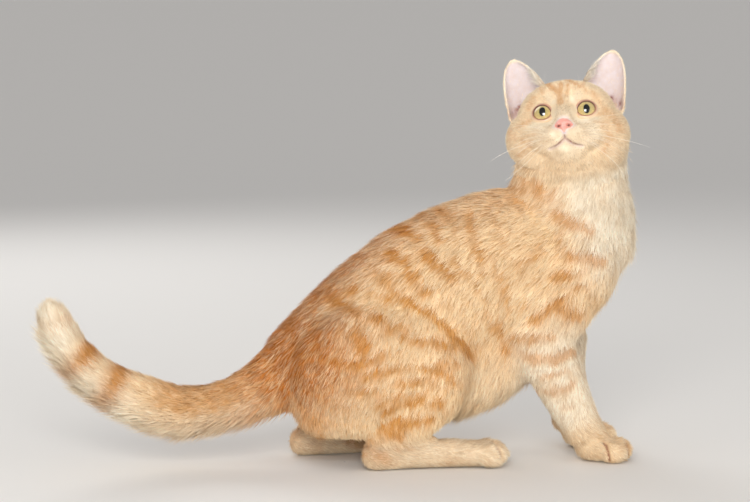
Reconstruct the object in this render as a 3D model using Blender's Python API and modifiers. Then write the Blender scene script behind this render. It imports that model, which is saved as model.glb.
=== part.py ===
"""A life-size still model of a young cream tabby cat that crouches on its hind feet with its head up.

Units are metres. +X is the way the body points, +Y is its left, +Z is up, and the feet stand on z = 0.
The body is worked out whole, as strings of ellipsoids that are fused into one skin, and is then
parted where a person would name its parts, with a gap of GAP between neighbours.
"""

import math

import bmesh
import bpy
from mathutils import Matrix, Vector
from mathutils.bvhtree import BVHTree

# Driving sizes
GAP = 0.0003
EYE_RADIUS = 0.0108
EYE_SPACING = 0.0372
EYE_OPENING = (0.0087, 0.0075)
CROWN_HALF_WIDTH = 0.046
CHEEK_HALF_WIDTH = 0.0575
MUZZLE_REACH = 0.055
EAR_THICKNESS = 0.0024
EAR_DEPTH = 0.0175
EAR_COLUMNS = 12
# The inner and outer edge of the left ear from its base to its tip, in the head's frame
EAR_EDGES = (
    ((0.0040, 0.0175, 0.0350), (-0.0030, 0.0480, -0.0010)),
    ((0.0030, 0.0205, 0.0420), (-0.0030, 0.0530, 0.0120)),
    ((0.0010, 0.0245, 0.0485), (-0.0035, 0.0552, 0.0270)),
    ((-0.0010, 0.0285, 0.0548), (-0.0045, 0.0562, 0.0410)),
    ((-0.0030, 0.0330, 0.0606), (-0.0055, 0.0560, 0.0520)),
    ((-0.0050, 0.0374, 0.0652), (-0.0065, 0.0544, 0.0605)),
    ((-0.0070, 0.0417, 0.0684), (-0.0075, 0.0514, 0.0665)),
    ((-0.0078, 0.0447, 0.0699), (-0.0079, 0.0492, 0.0692)),
    ((-0.0080, 0.0466, 0.0706), (-0.0080, 0.0476, 0.0705)),
)
CHEST_HALF_WIDTH = 0.047
FOREPAW_LENGTH = 0.054
TOE_SPACING = 0.0098

# Where the body stands on the floor: the middle of each foot
FOREPAW_AT = {-1: Vector((0.240, -0.034, 0)), 1: Vector((0.246, 0.033, 0))}
FOREPAW_TURN = {-1: math.radians(-22), 1: math.radians(8)}
HEEL_AT = {-1: Vector((0.030, -0.042, 0)), 1: Vector((-0.026, 0.036, 0))}
HAUNCH_BACK = {-1: 0.0, 1: 0.004}
ELBOW_AHEAD = {-1: 0.0, 1: 0.031}
SIDE_NAME = {-1: "right", 1: "left"}

# Moves the whole so that the middle of its box lies over the origin
ONTO_ORIGIN = Vector((-0.0075, 0.0019, 0))

# The head is turned to the right, raised and tipped a little
HEAD_AT = Vector((0.2143, -0.012, 0.311))
HEAD_HEADING = math.radians(-110.4)
HEAD_RAISED = math.radians(20)
HEAD_TIPPED = math.radians(-6)
HEAD = (
    Matrix.Translation(HEAD_AT)
    @ Matrix.Rotation(HEAD_HEADING, 4, "Z")
    @ Matrix.Rotation(-HEAD_RAISED, 4, "Y")
    @ Matrix.Rotation(-HEAD_TIPPED, 4, "X")
)

# Planes that part the body: a point on each and the way it faces
THROAT = (Vector((0.215, 0, 0.279)), Vector((0, -0.24, 0.97)))
NECK_BASE = (Vector((0.225, 0, 0.236)), Vector((0.335, 0, 0.942)))
FLOOR = (Vector((0, 0, 0)), Vector((0, 0, -1)))
ANKLE = (Vector((0, 0, 0.0265)), Vector((0, 0, 1)))
TAIL_ROOT = (Vector((-0.070, 0, 0.064)), Vector((-1, 0, 0)))

COAT = ((0.80, 0.56, 0.33, 1), 0.85)
COAT_PALE = ((0.90, 0.80, 0.66, 1), 0.85)
NOSE_PINK = ((0.86, 0.47, 0.42, 1), 0.5)
EYE_GOLD = ((0.56, 0.50, 0.16, 1), 0.1)

# Triangles that each fused form is thinned to before it is parted
BODY_TRIANGLES = 4700
HEAD_TRIANGLES = 2700
PAW_TRIANGLES = 580
NOSE_TRIANGLES = 320
MOUTH_TRIANGLES = 240


def clear_scene():
    for obj in list(bpy.data.objects):
        bpy.data.objects.remove(obj)


def collection(name, hidden=False):
    made = bpy.data.collections.new(name)
    bpy.context.scene.collection.children.link(made)
    made.hide_render = hidden
    return made


def material(name, look):
    colour, roughness = look
    made = bpy.data.materials.new(name)
    made.use_nodes = True
    shader = made.node_tree.nodes["Principled BSDF"]
    shader.inputs["Base Color"].default_value = colour
    shader.inputs["Roughness"].default_value = roughness
    return made


def object_of(shape, name):
    """Turns a bmesh into an object and frees the bmesh."""
    mesh = bpy.data.meshes.new(name)
    shape.to_mesh(mesh)
    shape.free()
    obj = bpy.data.objects.new(name, mesh)
    WORKSHOP.objects.link(obj)
    return obj


def applied(obj):
    """Makes the object's modifiers part of its mesh."""
    graph = bpy.context.evaluated_depsgraph_get()
    mesh = bpy.data.meshes.new_from_object(obj.evaluated_get(graph))
    obj.modifiers.clear()
    obj.data = mesh
    return obj


def copied(obj):
    twin = bpy.data.objects.new(obj.name + "_copy", obj.data.copy())
    WORKSHOP.objects.link(twin)
    return twin


def ball(shape, centre, radii, turn=Matrix.Identity(4), fineness=3):
    """Adds an ellipsoid to a bmesh."""
    place = turn @ Matrix.Translation(centre) @ Matrix.Diagonal((*radii, 1))
    bmesh.ops.create_icosphere(shape, subdivisions=fineness, radius=1, matrix=place)


def string(shape, stations, steps=4, turn=Matrix.Identity(4), fineness=3):
    """Adds ellipsoids evenly spaced between stations, each a centre and three radii in one row."""
    for first, second in zip(stations, stations[1:]):
        for k in range(steps + 1):
            t = k / steps
            row = [a + (b - a) * t for a, b in zip(first, second)]
            ball(shape, row[:3], row[3:], turn, fineness)


def fused(name, shape, voxel, rounds, triangles):
    """Melts overlapping ellipsoids into one skin, softens it, and thins its triangles out."""
    obj = object_of(shape, name)
    melt = obj.modifiers.new("Melt", "REMESH")
    melt.mode = "VOXEL"
    melt.voxel_size = voxel
    soften = obj.modifiers.new("Soften", "SMOOTH")
    soften.factor = 0.5
    soften.iterations = rounds
    applied(obj)
    obj.data.calc_loop_triangles()
    thin = obj.modifiers.new("Thin out", "DECIMATE")
    thin.ratio = min(1.0, triangles / len(obj.data.loop_triangles))
    return applied(obj)


def healed(obj):
    """Merges points that a cut left on top of each other, and closes any pinhole."""
    shape = bmesh.new()
    shape.from_mesh(obj.data)
    bmesh.ops.remove_doubles(shape, verts=shape.verts[:], dist=2e-6)
    bmesh.ops.dissolve_degenerate(shape, edges=shape.edges[:], dist=2e-6)
    rim = [edge for edge in shape.edges if edge.is_boundary]
    bmesh.ops.holes_fill(shape, edges=rim, sides=8)
    bmesh.ops.triangulate(shape, faces=shape.faces[:])
    shape.to_mesh(obj.data)
    shape.free()
    return obj


def boolean(obj, other, operation):
    cut = obj.modifiers.new(operation.title(), "BOOLEAN")
    cut.operation = operation
    cut.solver = "EXACT"
    cut.object = other
    return healed(applied(obj))


def grown(obj, by=GAP):
    """A copy of a closed form whose skin is moved out, to leave a gap round the form."""
    twin = copied(obj)
    swell = twin.modifiers.new("Swell", "DISPLACE")
    swell.strength = by
    swell.mid_level = 0
    return applied(twin)


def trimmed(obj, plane, shift=0.0):
    """Takes away what lies beyond a plane, moved by shift along the way it faces, and closes the cut."""
    point, facing = plane
    facing = facing.normalized()
    shape = bmesh.new()
    shape.from_mesh(obj.data)
    everything = shape.verts[:] + shape.edges[:] + shape.faces[:]
    bmesh.ops.bisect_plane(
        shape,
        geom=everything,
        plane_co=point + facing * shift,
        plane_no=facing,
        clear_outer=True,
    )
    rim = [edge for edge in shape.edges if edge.is_boundary]
    made = bmesh.ops.holes_fill(shape, edges=rim, sides=0)
    bmesh.ops.triangulate(shape, faces=made["faces"])
    shape.to_mesh(obj.data)
    shape.free()
    return obj


def largest(obj):
    """Keeps only the largest closed surface of a mesh."""
    shape = bmesh.new()
    shape.from_mesh(obj.data)
    left = set(shape.faces)
    islands = []
    while left:
        island = {left.pop()}
        edge_of = list(island)
        while edge_of:
            face = edge_of.pop()
            near = {f for e in face.edges for f in e.link_faces} & left
            left -= near
            island |= near
            edge_of.extend(near)
        islands.append(island)
    kept = max(islands, key=lambda island: sum(f.calc_area() for f in island))
    loose = [f for f in shape.faces if f not in kept]
    bmesh.ops.delete(shape, geom=loose, context="FACES")
    shape.to_mesh(obj.data)
    shape.free()
    return obj


def finished(obj, name, look):
    """Names a node, gives it its finish, and shades it smooth."""
    largest(obj)
    obj.name = name
    obj.data.name = name
    obj.data.materials.clear()
    obj.data.materials.append(look)
    obj.data.shade_smooth()
    obj.data.transform(Matrix.Translation(ONTO_ORIGIN))
    WORKSHOP.objects.unlink(obj)
    CAT.objects.link(obj)
    return obj


def slab(name, outline, y_from, y_to):
    """A closed block whose side view is the outline, in x and z, between two values of y."""
    shape = bmesh.new()
    corners = [shape.verts.new((x, y_from, z)) for x, z in outline]
    face = shape.faces.new(corners)
    made = bmesh.ops.extrude_face_region(shape, geom=[face])
    moved = [v for v in made["geom"] if isinstance(v, bmesh.types.BMVert)]
    bmesh.ops.translate(shape, verts=moved, vec=(0, y_to - y_from, 0))
    bmesh.ops.recalc_face_normals(shape, faces=shape.faces[:])
    return object_of(shape, name)


def trunk(shape):
    """Rump, loin, belly and rib cage: x, z, half depth and half width along the back."""
    line = (
        (-0.022, 0.092, 0.0475, 0.038),
        (0.010, 0.112, 0.0565, 0.047),
        (0.045, 0.133, 0.065, 0.051),
        (0.082, 0.150, 0.074, 0.052),
        (0.118, 0.162, 0.079, 0.052),
        (0.152, 0.171, 0.081, 0.051),
        (0.186, 0.180, 0.078, 0.049),
        (0.203, 0.187, 0.069, CHEST_HALF_WIDTH),
        (0.2255, 0.200, 0.054, 0.044),
        (0.2070, 0.161, 0.0465, 0.041),
    )
    string(shape, [(x, 0, z, deep, wide, deep) for x, z, deep, wide in line], steps=3)
    # The loose skin of the belly and flank hangs in front of the thigh
    belly = (
        (0.086, 0.102, 0.052, 0.041),
        (0.112, 0.095, 0.057, 0.040),
        (0.132, 0.103, 0.058, 0.040),
        (0.152, 0.114, 0.055, 0.040),
    )
    string(shape, [(x, 0, z, deep, wide, deep) for x, z, deep, wide in belly], steps=3)


def neck(shape, turn=Matrix.Identity(4)):
    """The raised neck, wide with its ruff, from the shoulders to the back of the head."""
    line = (
        (0.217, 0.000, 0.202, 0.069, 0.047, 0.046),
        (0.2245, 0.000, 0.228, 0.0590, 0.046, 0.040),
        (0.2215, 0.000, 0.250, 0.0565, 0.044, 0.032),
        (0.2235, -0.001, 0.268, 0.0515, 0.043, 0.030),
        (0.2240, -0.003, 0.290, 0.0530, 0.043, 0.034),
    )
    string(shape, line, steps=4, turn=turn)


def foreleg(shape, side, turn=Matrix.Identity(4)):
    """Shoulder, upper arm and forearm: the leg slants forward from the elbow to the wrist."""
    out = FOREPAW_AT[side].y
    elbow = ELBOW_AHEAD[side]
    wrist = FOREPAW_AT[side].x - FOREPAW_AT[-1].x
    shoulder = (
        (0.222 + 0.3 * elbow, 0.030 * side, 0.186, 0.040, 0.023, 0.044),
        (0.200 + 0.5 * elbow, 0.034 * side, 0.150, 0.038, 0.022, 0.040),
        (0.186 + elbow, 0.036 * side, 0.124, 0.031, 0.021, 0.032),
    )
    forearm = (
        (0.190 + elbow, 0.036 * side, 0.106, 0.0285, 0.0210, 0.0285),
        (0.203 + elbow + 0.45 * (wrist - elbow), out, 0.076, 0.0245, 0.0195, 0.0245),
        (0.2160 + elbow + 0.70 * (wrist - elbow), out, 0.051, 0.0215, 0.0180, 0.0215),
        (0.2265 + wrist, out, 0.030, 0.0193, 0.0172, 0.0190),
    )
    string(shape, shoulder, steps=3, turn=turn)
    string(shape, forearm, steps=5, turn=turn)


def haunch(shape, side):
    """Thigh, knee and the seat behind them."""
    back = HAUNCH_BACK[side]
    out = 0.043 * side
    thigh = (
        (-0.004 + back, 0.034 * side, 0.090, 0.040, 0.026, 0.052),
        (0.022 + back, out, 0.098, 0.052, 0.0245, 0.060),
        (0.056 + back, out, 0.102, 0.050, 0.0245, 0.054),
        (0.086 + back, out, 0.094, 0.036, 0.0225, 0.038),
    )
    seat = (
        (-0.016 + back, 0.028 * side, 0.056, 0.027, 0.021, 0.028),
        (0.018 + back, 0.036 * side, 0.059, 0.036, 0.022, 0.031),
    )
    string(shape, thigh, steps=3)
    string(shape, seat, steps=3)


def shank(shape, side):
    """From the knee down and back to the heel."""
    heel = HEEL_AT[side]
    knee = 0.082 + HAUNCH_BACK[side]
    line = (
        (knee, 0.043 * side, 0.074, 0.032, 0.021, 0.034),
        ((heel.x + knee) / 2 + 0.004, heel.y, 0.048, 0.029, 0.0185, 0.026),
        (heel.x + 0.022, heel.y, 0.028, 0.024, 0.0155, 0.020),
        (heel.x + 0.006, heel.y, 0.016, 0.016, 0.0135, 0.017),
    )
    string(shape, line, steps=5)


def tail(shape):
    """The tail leaves the rump low, runs back level and curls up to a blunt tip."""
    line = (
        (-0.044, 0.000, 0.0830, 0.0350, 0.028, 0.0350),
        (-0.066, 0.000, 0.0710, 0.0285, 0.024, 0.0285),
        (-0.088, 0.000, 0.0605, 0.0245, 0.0215, 0.0245),
        (-0.114, 0.000, 0.0540, 0.0228, 0.0205, 0.0228),
        (-0.142, -0.001, 0.0520, 0.0240, 0.0215, 0.0240),
        (-0.168, -0.002, 0.0590, 0.0245, 0.0220, 0.0245),
        (-0.1945, -0.003, 0.0705, 0.0222, 0.0205, 0.0222),
        (-0.2190, -0.004, 0.0858, 0.0204, 0.0192, 0.0204),
        (-0.2385, -0.005, 0.1055, 0.0188, 0.0180, 0.0188),
        (-0.2515, -0.006, 0.1275, 0.0180, 0.0172, 0.0180),
        (-0.2560, -0.006, 0.1390, 0.0158, 0.0154, 0.0158),
    )
    string(shape, line, steps=3)
    return [Vector(row[:3]) for row in line]


def body_skin():
    """The body without head and feet, as one fused skin."""
    shape = bmesh.new()
    trunk(shape)
    neck(shape)
    for side in SIDE_NAME:
        foreleg(shape, side)
        haunch(shape, side)
        shank(shape, side)
    tail_line = tail(shape)
    return fused("body", shape, 0.0030, 14, BODY_TRIANGLES), tail_line


def part_off(body, region):
    """Parts a closed body at a region: what is inside it, and the rest a gap away."""
    inside = boolean(copied(body), region, "INTERSECT")
    rest = boolean(body, grown(region, 1.5 * GAP), "DIFFERENCE")
    return largest(inside), largest(rest)


def arch(x_from, x_to, foot, top, points=14):
    """A side outline with straight sides down to foot and a half ellipse from their tops up to top."""
    middle, reach = (x_from + x_to) / 2, (x_to - x_from) / 2
    spring = top[0]
    outline = [(x_from, foot), (x_to, foot)]
    for k in range(points + 1):
        turn = math.pi * k / points
        outline.append(
            (middle + reach * math.cos(turn), spring + (top[1] - spring) * math.sin(turn))
        )
    return outline


def toes(shape, at, turn, reach, radii):
    """Four toes in a row, the outer two set back and smaller."""
    for k in (-1.5, -0.5, 0.5, 1.5):
        set_back = 0.0032 * (abs(k) - 0.5)
        small = 1 - 0.07 * (abs(k) - 0.5)
        centre = at + Vector((reach - set_back, k * TOE_SPACING, radii[2] - 0.0010))
        ball(shape, centre, [r * small for r in radii], turn)


def forepaw(side, coat):
    """Wrist, palm and toes of a forefoot, trimmed flat where it stands and where the forearm ends."""
    at = FOREPAW_AT[side]
    shape = bmesh.new()
    foreleg(shape, side)
    turn = (
        Matrix.Translation(at) @ Matrix.Rotation(FOREPAW_TURN[side], 4, "Z")
    )
    palm = (
        (-0.010, 0, 0.026, 0.0175, 0.0165, 0.0170),
        (-0.004, 0, 0.014, 0.0180, 0.0185, 0.0160),
        (0.008, 0, 0.010, 0.0160, 0.0195, 0.0115),
    )
    string(shape, palm, steps=3, turn=turn)
    toe_radii = (0.0140, 0.0066, 0.0112)
    toes(shape, Vector(), turn, FOREPAW_LENGTH / 2 - 0.0080, toe_radii)
    paw = fused("forepaw", shape, 0.0015, 3, 2 * PAW_TRIANGLES)
    trimmed(paw, wrist_plane(side), -GAP / 2)
    trimmed(paw, FLOOR)
    return finished(paw, f"forepaw_{SIDE_NAME[side]}", coat)


def wrist_plane(side):
    """Across the forearm a little above the wrist, facing up the leg."""
    return Vector((FOREPAW_AT[side].x - 0.018, 0, 0.038)), Vector((-0.40, 0, 0.92))


def hindfoot(side, coat):
    """Heel, long metatarsus and toes, flat on the floor."""
    heel = HEEL_AT[side]
    shape = bmesh.new()
    shank(shape, side)
    turn = Matrix.Translation(heel)
    sole = (
        (0.000, 0, 0.0135, 0.0140, 0.0130, 0.0155),
        (0.030, 0, 0.0150, 0.0200, 0.0140, 0.0155),
        (0.060, 0, 0.0135, 0.0180, 0.0140, 0.0140),
        (0.092, 0, 0.0120, 0.0180, 0.0175, 0.0125),
    )
    string(shape, sole, steps=4, turn=turn)
    toes(shape, Vector(), turn, 0.1080, (0.0148, 0.0067, 0.0128))
    foot = fused("hindfoot", shape, 0.0016, 3, 1.5 * PAW_TRIANGLES)
    trimmed(foot, ANKLE, -GAP / 2)
    trimmed(foot, FLOOR)
    return finished(foot, f"hindfoot_{SIDE_NAME[side]}", coat)


def eye_frame(side):
    """Where an eye sits in the head, with its own X along its gaze."""
    centre = Vector((0.0240, side * EYE_SPACING / 2, 0.0016))
    return (
        Matrix.Translation(centre)
        @ Matrix.Rotation(math.radians(13) * side, 4, "Z")
        @ Matrix.Rotation(math.radians(-6), 4, "Y")
    )


def eye_outline(side, points=24):
    """The almond between the lids, across the gaze: wider above, with its outer corner raised."""
    wide, tall = EYE_OPENING
    outline = []
    for k in range(points):
        turn = 2 * math.pi * k / points
        across, up = math.cos(turn), math.sin(turn)
        lid = 1.0 if up > 0 else 0.92
        pinch = 1 - 0.16 * across**4
        outline.append(
            (
                side * wide * across,
                tall * lid * up * pinch + 0.10 * wide * across,
            )
        )
    return outline


def eye_opening(side):
    """A block along the gaze whose section is the eye's opening."""
    shape = bmesh.new()
    corners = [shape.verts.new((0.001, y, z)) for y, z in eye_outline(side)]
    face = shape.faces.new(corners)
    made = bmesh.ops.extrude_face_region(shape, geom=[face])
    moved = [v for v in made["geom"] if isinstance(v, bmesh.types.BMVert)]
    bmesh.ops.translate(shape, verts=moved, vec=(0.03, 0, 0))
    bmesh.ops.recalc_face_normals(shape, faces=shape.faces[:])
    shape.transform(eye_frame(side))
    return object_of(shape, "eye_opening")


def tube(name, points, radius, closed, sides=2):
    """A round rod along points, as a closed mesh."""
    curve = bpy.data.curves.new(name, "CURVE")
    curve.dimensions = "3D"
    curve.bevel_depth = radius
    curve.bevel_resolution = sides
    curve.use_fill_caps = True
    spline = curve.splines.new("POLY")
    spline.points.add(len(points) - 1)
    for point, place in zip(spline.points, points):
        point.co = (*place, 1)
    spline.use_cyclic_u = closed
    rod = bpy.data.objects.new(name, curve)
    WORKSHOP.objects.link(rod)
    bpy.context.view_layer.update()
    graph = bpy.context.evaluated_depsgraph_get()
    mesh = bpy.data.meshes.new_from_object(rod.evaluated_get(graph))
    bpy.data.objects.remove(rod)
    shape = bmesh.new()
    shape.from_mesh(mesh)
    bmesh.ops.remove_doubles(shape, verts=shape.verts[:], dist=1e-5)
    bmesh.ops.recalc_face_normals(shape, faces=shape.faces[:])
    return object_of(shape, name)


def lid_rim(side):
    """The raised edge of both lids, a ring that lies on the eyeball round the opening."""
    frame = eye_frame(side)
    ring = []
    for y, z in eye_outline(side):
        y, z = y * 1.05, z * 1.08
        forward = math.sqrt(max(EYE_RADIUS**2 - y * y - z * z, 1e-6)) + 0.0006
        ring.append(frame @ Vector((forward, y, z)))
    return tube("lid_rim", ring, 0.0017, True, sides=1)


def eyeball(side, radius=EYE_RADIUS):
    shape = bmesh.new()
    ball(shape, (0, 0, 0), (radius,) * 3, eye_frame(side))
    return object_of(shape, "eyeball")


def skull_form(shape):
    """Crown, cheeks, brow, muzzle and chin in the head's own frame, X towards the nose."""
    ball(shape, (-0.006, 0, 0.008), (0.043, CROWN_HALF_WIDTH, 0.035))
    ball(shape, (-0.022, 0, -0.006), (0.036, 0.044, 0.038))
    ball(shape, (0.010, 0, 0.016), (0.027, 0.033, 0.024))
    bridge = (
        (0.023, 0, 0.012, 0.0145, 0.0170, 0.0135),
        (0.035, 0, -0.001, 0.0110, 0.0115, 0.0110),
        (0.045, 0, -0.010, 0.0095, 0.0085, 0.0090),
    )
    string(shape, bridge, steps=4)
    ball(shape, (0.034, 0, -0.020), (0.0170, 0.0165, 0.0150))
    for side in SIDE_NAME:
        cheek = CHEEK_HALF_WIDTH - 0.031
        ball(shape, (0.002, side * cheek, -0.014), (0.030, 0.031, 0.029))
        ball(shape, (-0.002, side * 0.026, -0.030), (0.028, 0.026, 0.020))
        ball(shape, (0.018, side * 0.023, -0.016), (0.020, 0.019, 0.018))
        ball(shape, (0.027, side * 0.018, -0.022), (0.017, 0.016, 0.014))
        ball(shape, (0.0185, side * EYE_SPACING / 2, 0.003), (0.0150, 0.0170, 0.0155))
        ball(shape, (0.0405, side * 0.0095, -0.0240), (0.0125, 0.0120, 0.0100))
        ball(shape, (0.0320, side * 0.0160, -0.0260), (0.0150, 0.0120, 0.0110))
    ball(shape, (0.0330, 0, -0.0360), (0.0130, 0.0120, 0.0085))
    ball(shape, (0.022, 0, -0.034), (0.022, 0.020, 0.014))
    ball(shape, (0.008, 0, -0.036), (0.026, 0.028, 0.018))


def nose_form():
    """The bare nose leather: a rounded triangle with a wing each side and a stem to the lip."""
    shape = bmesh.new()
    tip = MUZZLE_REACH
    ball(shape, (tip - 0.0058, 0, -0.0142), (0.0056, 0.0066, 0.0046))
    ball(shape, (tip - 0.0050, 0, -0.0180), (0.0052, 0.0050, 0.0044))
    for side in SIDE_NAME:
        ball(shape, (tip - 0.0070, side * 0.0050, -0.0168), (0.0044, 0.0034, 0.0034))
    stem = (
        (tip - 0.0045, 0, -0.0200, 0.0036, 0.0026, 0.0030),
        (tip - 0.0050, 0, -0.0250, 0.0032, 0.0017, 0.0026),
    )
    string(shape, stem, steps=3)
    nose = fused("nose", shape, 0.0007, 3, NOSE_TRIANGLES)
    socket = grown(nose)
    for side in SIDE_NAME:
        hole = bmesh.new()
        lie = Matrix.Rotation(math.radians(-28) * side, 4, "X")
        lie = Matrix.Translation((tip - 0.0020, side * 0.0044, -0.0190)) @ lie
        ball(hole, (0, 0, 0), (0.0046, 0.0020, 0.0011), lie, fineness=2)
        boolean(nose, object_of(hole, "nostril"), "DIFFERENCE")
    return largest(nose), socket


def laid_on(obj, points):
    """The nearest places on an object's skin to a row of points."""
    shape = bmesh.new()
    shape.from_mesh(obj.data)
    skin = BVHTree.FromBMesh(shape)
    shape.free()
    return [skin.find_nearest(Vector(point))[0] for point in points]


def mouth_groove(head):
    """A cutter along the split of the upper lip and the line of the mouth, half sunk in the skin."""
    reach = MUZZLE_REACH
    lines = [[(reach - 0.002 - 0.003 * t, 0, -0.024 - 0.0075 * t) for t in (0, 0.33, 0.67, 1)]]
    for side in SIDE_NAME:
        line = []
        for k in range(7):
            t = k / 6
            line.append((reach - 0.005 - 0.012 * t**1.4, side * 0.0130 * t, -0.0310 - 0.0055 * t))
        lines.append(line)
    shape = bmesh.new()
    for line in lines:
        wide = (0.0010,) * 3
        string(shape, [(*point, *wide) for point in laid_on(head, line)], steps=5, fineness=1)
    return fused("mouth", shape, 0.0004, 2, MOUTH_TRIANGLES)


def ear(side, head):
    """A tall cupped ear: half ellipses from its inner to its outer edge, narrowing to a round tip."""
    back = Vector((-1, -0.12 * side, 0.10)).normalized()
    widest = (Vector(EAR_EDGES[0][0]) - Vector(EAR_EDGES[0][1])).length
    shape = bmesh.new()
    grid = []
    for inner, outer in EAR_EDGES:
        inner, outer = (Vector((x, y * side, z)) for x, y, z in (inner, outer))
        middle = (inner + outer) / 2
        half = (outer - inner) / 2
        deep = EAR_DEPTH * 2 * half.length / widest
        row = []
        for i in range(EAR_COLUMNS + 1):
            turn = math.pi * i / EAR_COLUMNS
            depth = back * deep * math.sin(turn) ** 0.8
            row.append(shape.verts.new(middle - half * math.cos(turn) + depth))
        grid.append(row)
    for low, high in zip(grid, grid[1:]):
        for i in range(EAR_COLUMNS):
            shape.faces.new((low[i], low[i + 1], high[i + 1], high[i]))
    bmesh.ops.recalc_face_normals(shape, faces=shape.faces[:])
    obj = object_of(shape, "ear")
    wall = obj.modifiers.new("Wall", "SOLIDIFY")
    wall.thickness = EAR_THICKNESS
    wall.offset = 0
    wall.use_even_offset = False
    applied(obj)
    shape = bmesh.new()
    shape.from_mesh(obj.data)
    bmesh.ops.recalc_face_normals(shape, faces=shape.faces[:])
    shape.to_mesh(obj.data)
    shape.free()
    boolean(obj, grown(head), "DIFFERENCE")
    return obj


def head_parts(coat, pale, pink, gold):
    """Head, ears, eyes and nose, worked in the head's frame and then put in place."""
    shape = bmesh.new()
    skull_form(shape)
    neck(shape, HEAD.inverted())
    head = fused("head", shape, 0.0015, 12, HEAD_TRIANGLES)
    nose, socket = nose_form()
    boolean(head, socket, "DIFFERENCE")
    boolean(head, mouth_groove(head), "DIFFERENCE")
    for side in SIDE_NAME:
        boolean(head, eye_opening(side), "DIFFERENCE")
        boolean(head, lid_rim(side), "UNION")
        boolean(head, eyeball(side, EYE_RADIUS + GAP), "DIFFERENCE")
    head = largest(head)
    for side in SIDE_NAME:
        pinna = ear(side, head)
        pinna.data.transform(HEAD)
        finished(pinna, f"ear_{SIDE_NAME[side]}", pale)
        globe = eyeball(side)
        globe.data.transform(HEAD)
        finished(globe, f"eye_{SIDE_NAME[side]}", gold)
    nose.data.transform(HEAD)
    finished(nose, "nose", pink)
    head.data.transform(HEAD)
    point, facing = THROAT
    trimmed(head, (point, -facing), -GAP / 2)
    finished(head, "head", coat)


def body_parts(coat, pale):
    """Neck, torso, legs and the lengths of the tail, parted from the fused body."""
    body, tail_line = body_skin()
    collar = trimmed(copied(body), (NECK_BASE[0], -NECK_BASE[1]), -GAP / 2)
    trimmed(collar, THROAT, -GAP / 2)
    finished(collar, "neck", coat)
    trimmed(body, NECK_BASE, -GAP / 2)

    whole_tail = trimmed(copied(body), (TAIL_ROOT[0], -TAIL_ROOT[1]), -GAP / 2)
    trimmed(body, TAIL_ROOT, -GAP / 2)
    lengths = (("tail_root", 4), ("tail_middle", 7), ("tail_end", None))
    for name, last in lengths:
        piece = copied(whole_tail)
        if last is not None:
            across = (tail_line[last], tail_line[last + 1] - tail_line[last - 1])
            trimmed(piece, across, -GAP / 2)
            trimmed(whole_tail, (across[0], -across[1]), -GAP / 2)
        finished(piece, name, coat if last is not None else pale)

    for side in SIDE_NAME:
        near, far = sorted((side * 0.006, side * 0.12))
        elbow = 0.8 * ELBOW_AHEAD[side]
        outline = (
            (0.157 + elbow, 0.114),
            (0.182 + elbow, 0.132),
            (0.215 + elbow, 0.134),
            (0.246 + elbow, 0.122),
            (0.300, 0.060),
            (0.300, -0.020),
            (0.184 + elbow, -0.020),
            (0.170 + elbow, 0.066),
        )
        leg, body = part_off(body, slab("foreleg_region", outline, near, far))
        trimmed(leg, (wrist_plane(side)[0], -wrist_plane(side)[1]), -GAP / 2)
        finished(leg, f"foreleg_{SIDE_NAME[side]}", coat)

        near, far = sorted((side * 0.020, side * 0.12))
        back = HAUNCH_BACK[side]
        outline = arch(-0.050 + back, 0.119 + back, -0.020, (0.070, 0.160))
        leg, body = part_off(body, slab("haunch_region", outline, near, far))
        trimmed(leg, (ANKLE[0], -ANKLE[1]), -GAP / 2)
        finished(leg, f"hindleg_{SIDE_NAME[side]}", coat)
    finished(body, "torso", coat)


clear_scene()
CAT = collection("cat")
WORKSHOP = collection("workshop", hidden=True)
coat_look = material("coat", COAT)
pale_look = material("coat_pale", COAT_PALE)
pink_look = material("nose_leather", NOSE_PINK)
gold_look = material("eye", EYE_GOLD)
body_parts(coat_look, pale_look)
head_parts(coat_look, pale_look, pink_look, gold_look)
for foot_side in SIDE_NAME:
    forepaw(foot_side, coat_look)
    hindfoot(foot_side, coat_look)
for helper in list(WORKSHOP.objects):
    bpy.data.objects.remove(helper)
bpy.data.collections.remove(WORKSHOP)
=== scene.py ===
# %% [markdown]
# # A cream tabby cat, life size, for a museum case
# The model of solid parts is the frame: it says where every part of the cat is. This lesson
# dresses it. One skin goes over the flesh, a coat of small tufts goes over the skin, and the
# eyes, lids, nose, mouth and whiskers are made as pieces of their own.
#
# New shapes are worked out with numpy as whole arrays and then handed to Blender, because a
# coat of a hundred thousand tufts is a few array sums, but a very slow loop.

# %% Start from the solid cat
import math

import bmesh
import bpy
import numpy as np
from mathutils import Matrix, Vector


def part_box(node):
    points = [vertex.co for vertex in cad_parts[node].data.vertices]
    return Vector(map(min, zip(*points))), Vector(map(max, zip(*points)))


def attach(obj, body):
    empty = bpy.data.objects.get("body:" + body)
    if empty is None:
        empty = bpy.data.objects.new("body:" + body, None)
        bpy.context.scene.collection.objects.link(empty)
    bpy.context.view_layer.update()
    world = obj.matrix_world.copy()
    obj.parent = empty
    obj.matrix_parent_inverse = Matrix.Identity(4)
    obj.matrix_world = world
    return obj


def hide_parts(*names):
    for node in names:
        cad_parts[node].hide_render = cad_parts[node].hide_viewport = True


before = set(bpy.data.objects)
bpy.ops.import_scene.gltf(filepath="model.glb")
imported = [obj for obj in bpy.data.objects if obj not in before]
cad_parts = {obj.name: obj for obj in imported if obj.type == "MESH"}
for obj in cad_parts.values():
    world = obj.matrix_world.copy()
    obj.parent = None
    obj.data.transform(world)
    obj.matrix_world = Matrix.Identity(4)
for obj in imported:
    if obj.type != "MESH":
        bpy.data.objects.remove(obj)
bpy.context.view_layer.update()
SHIFT = np.array([-0.0075, 0.0019, 0.0])  # the solids were moved by this, onto the middle of the floor
print("solid parts:", len(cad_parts))

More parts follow.
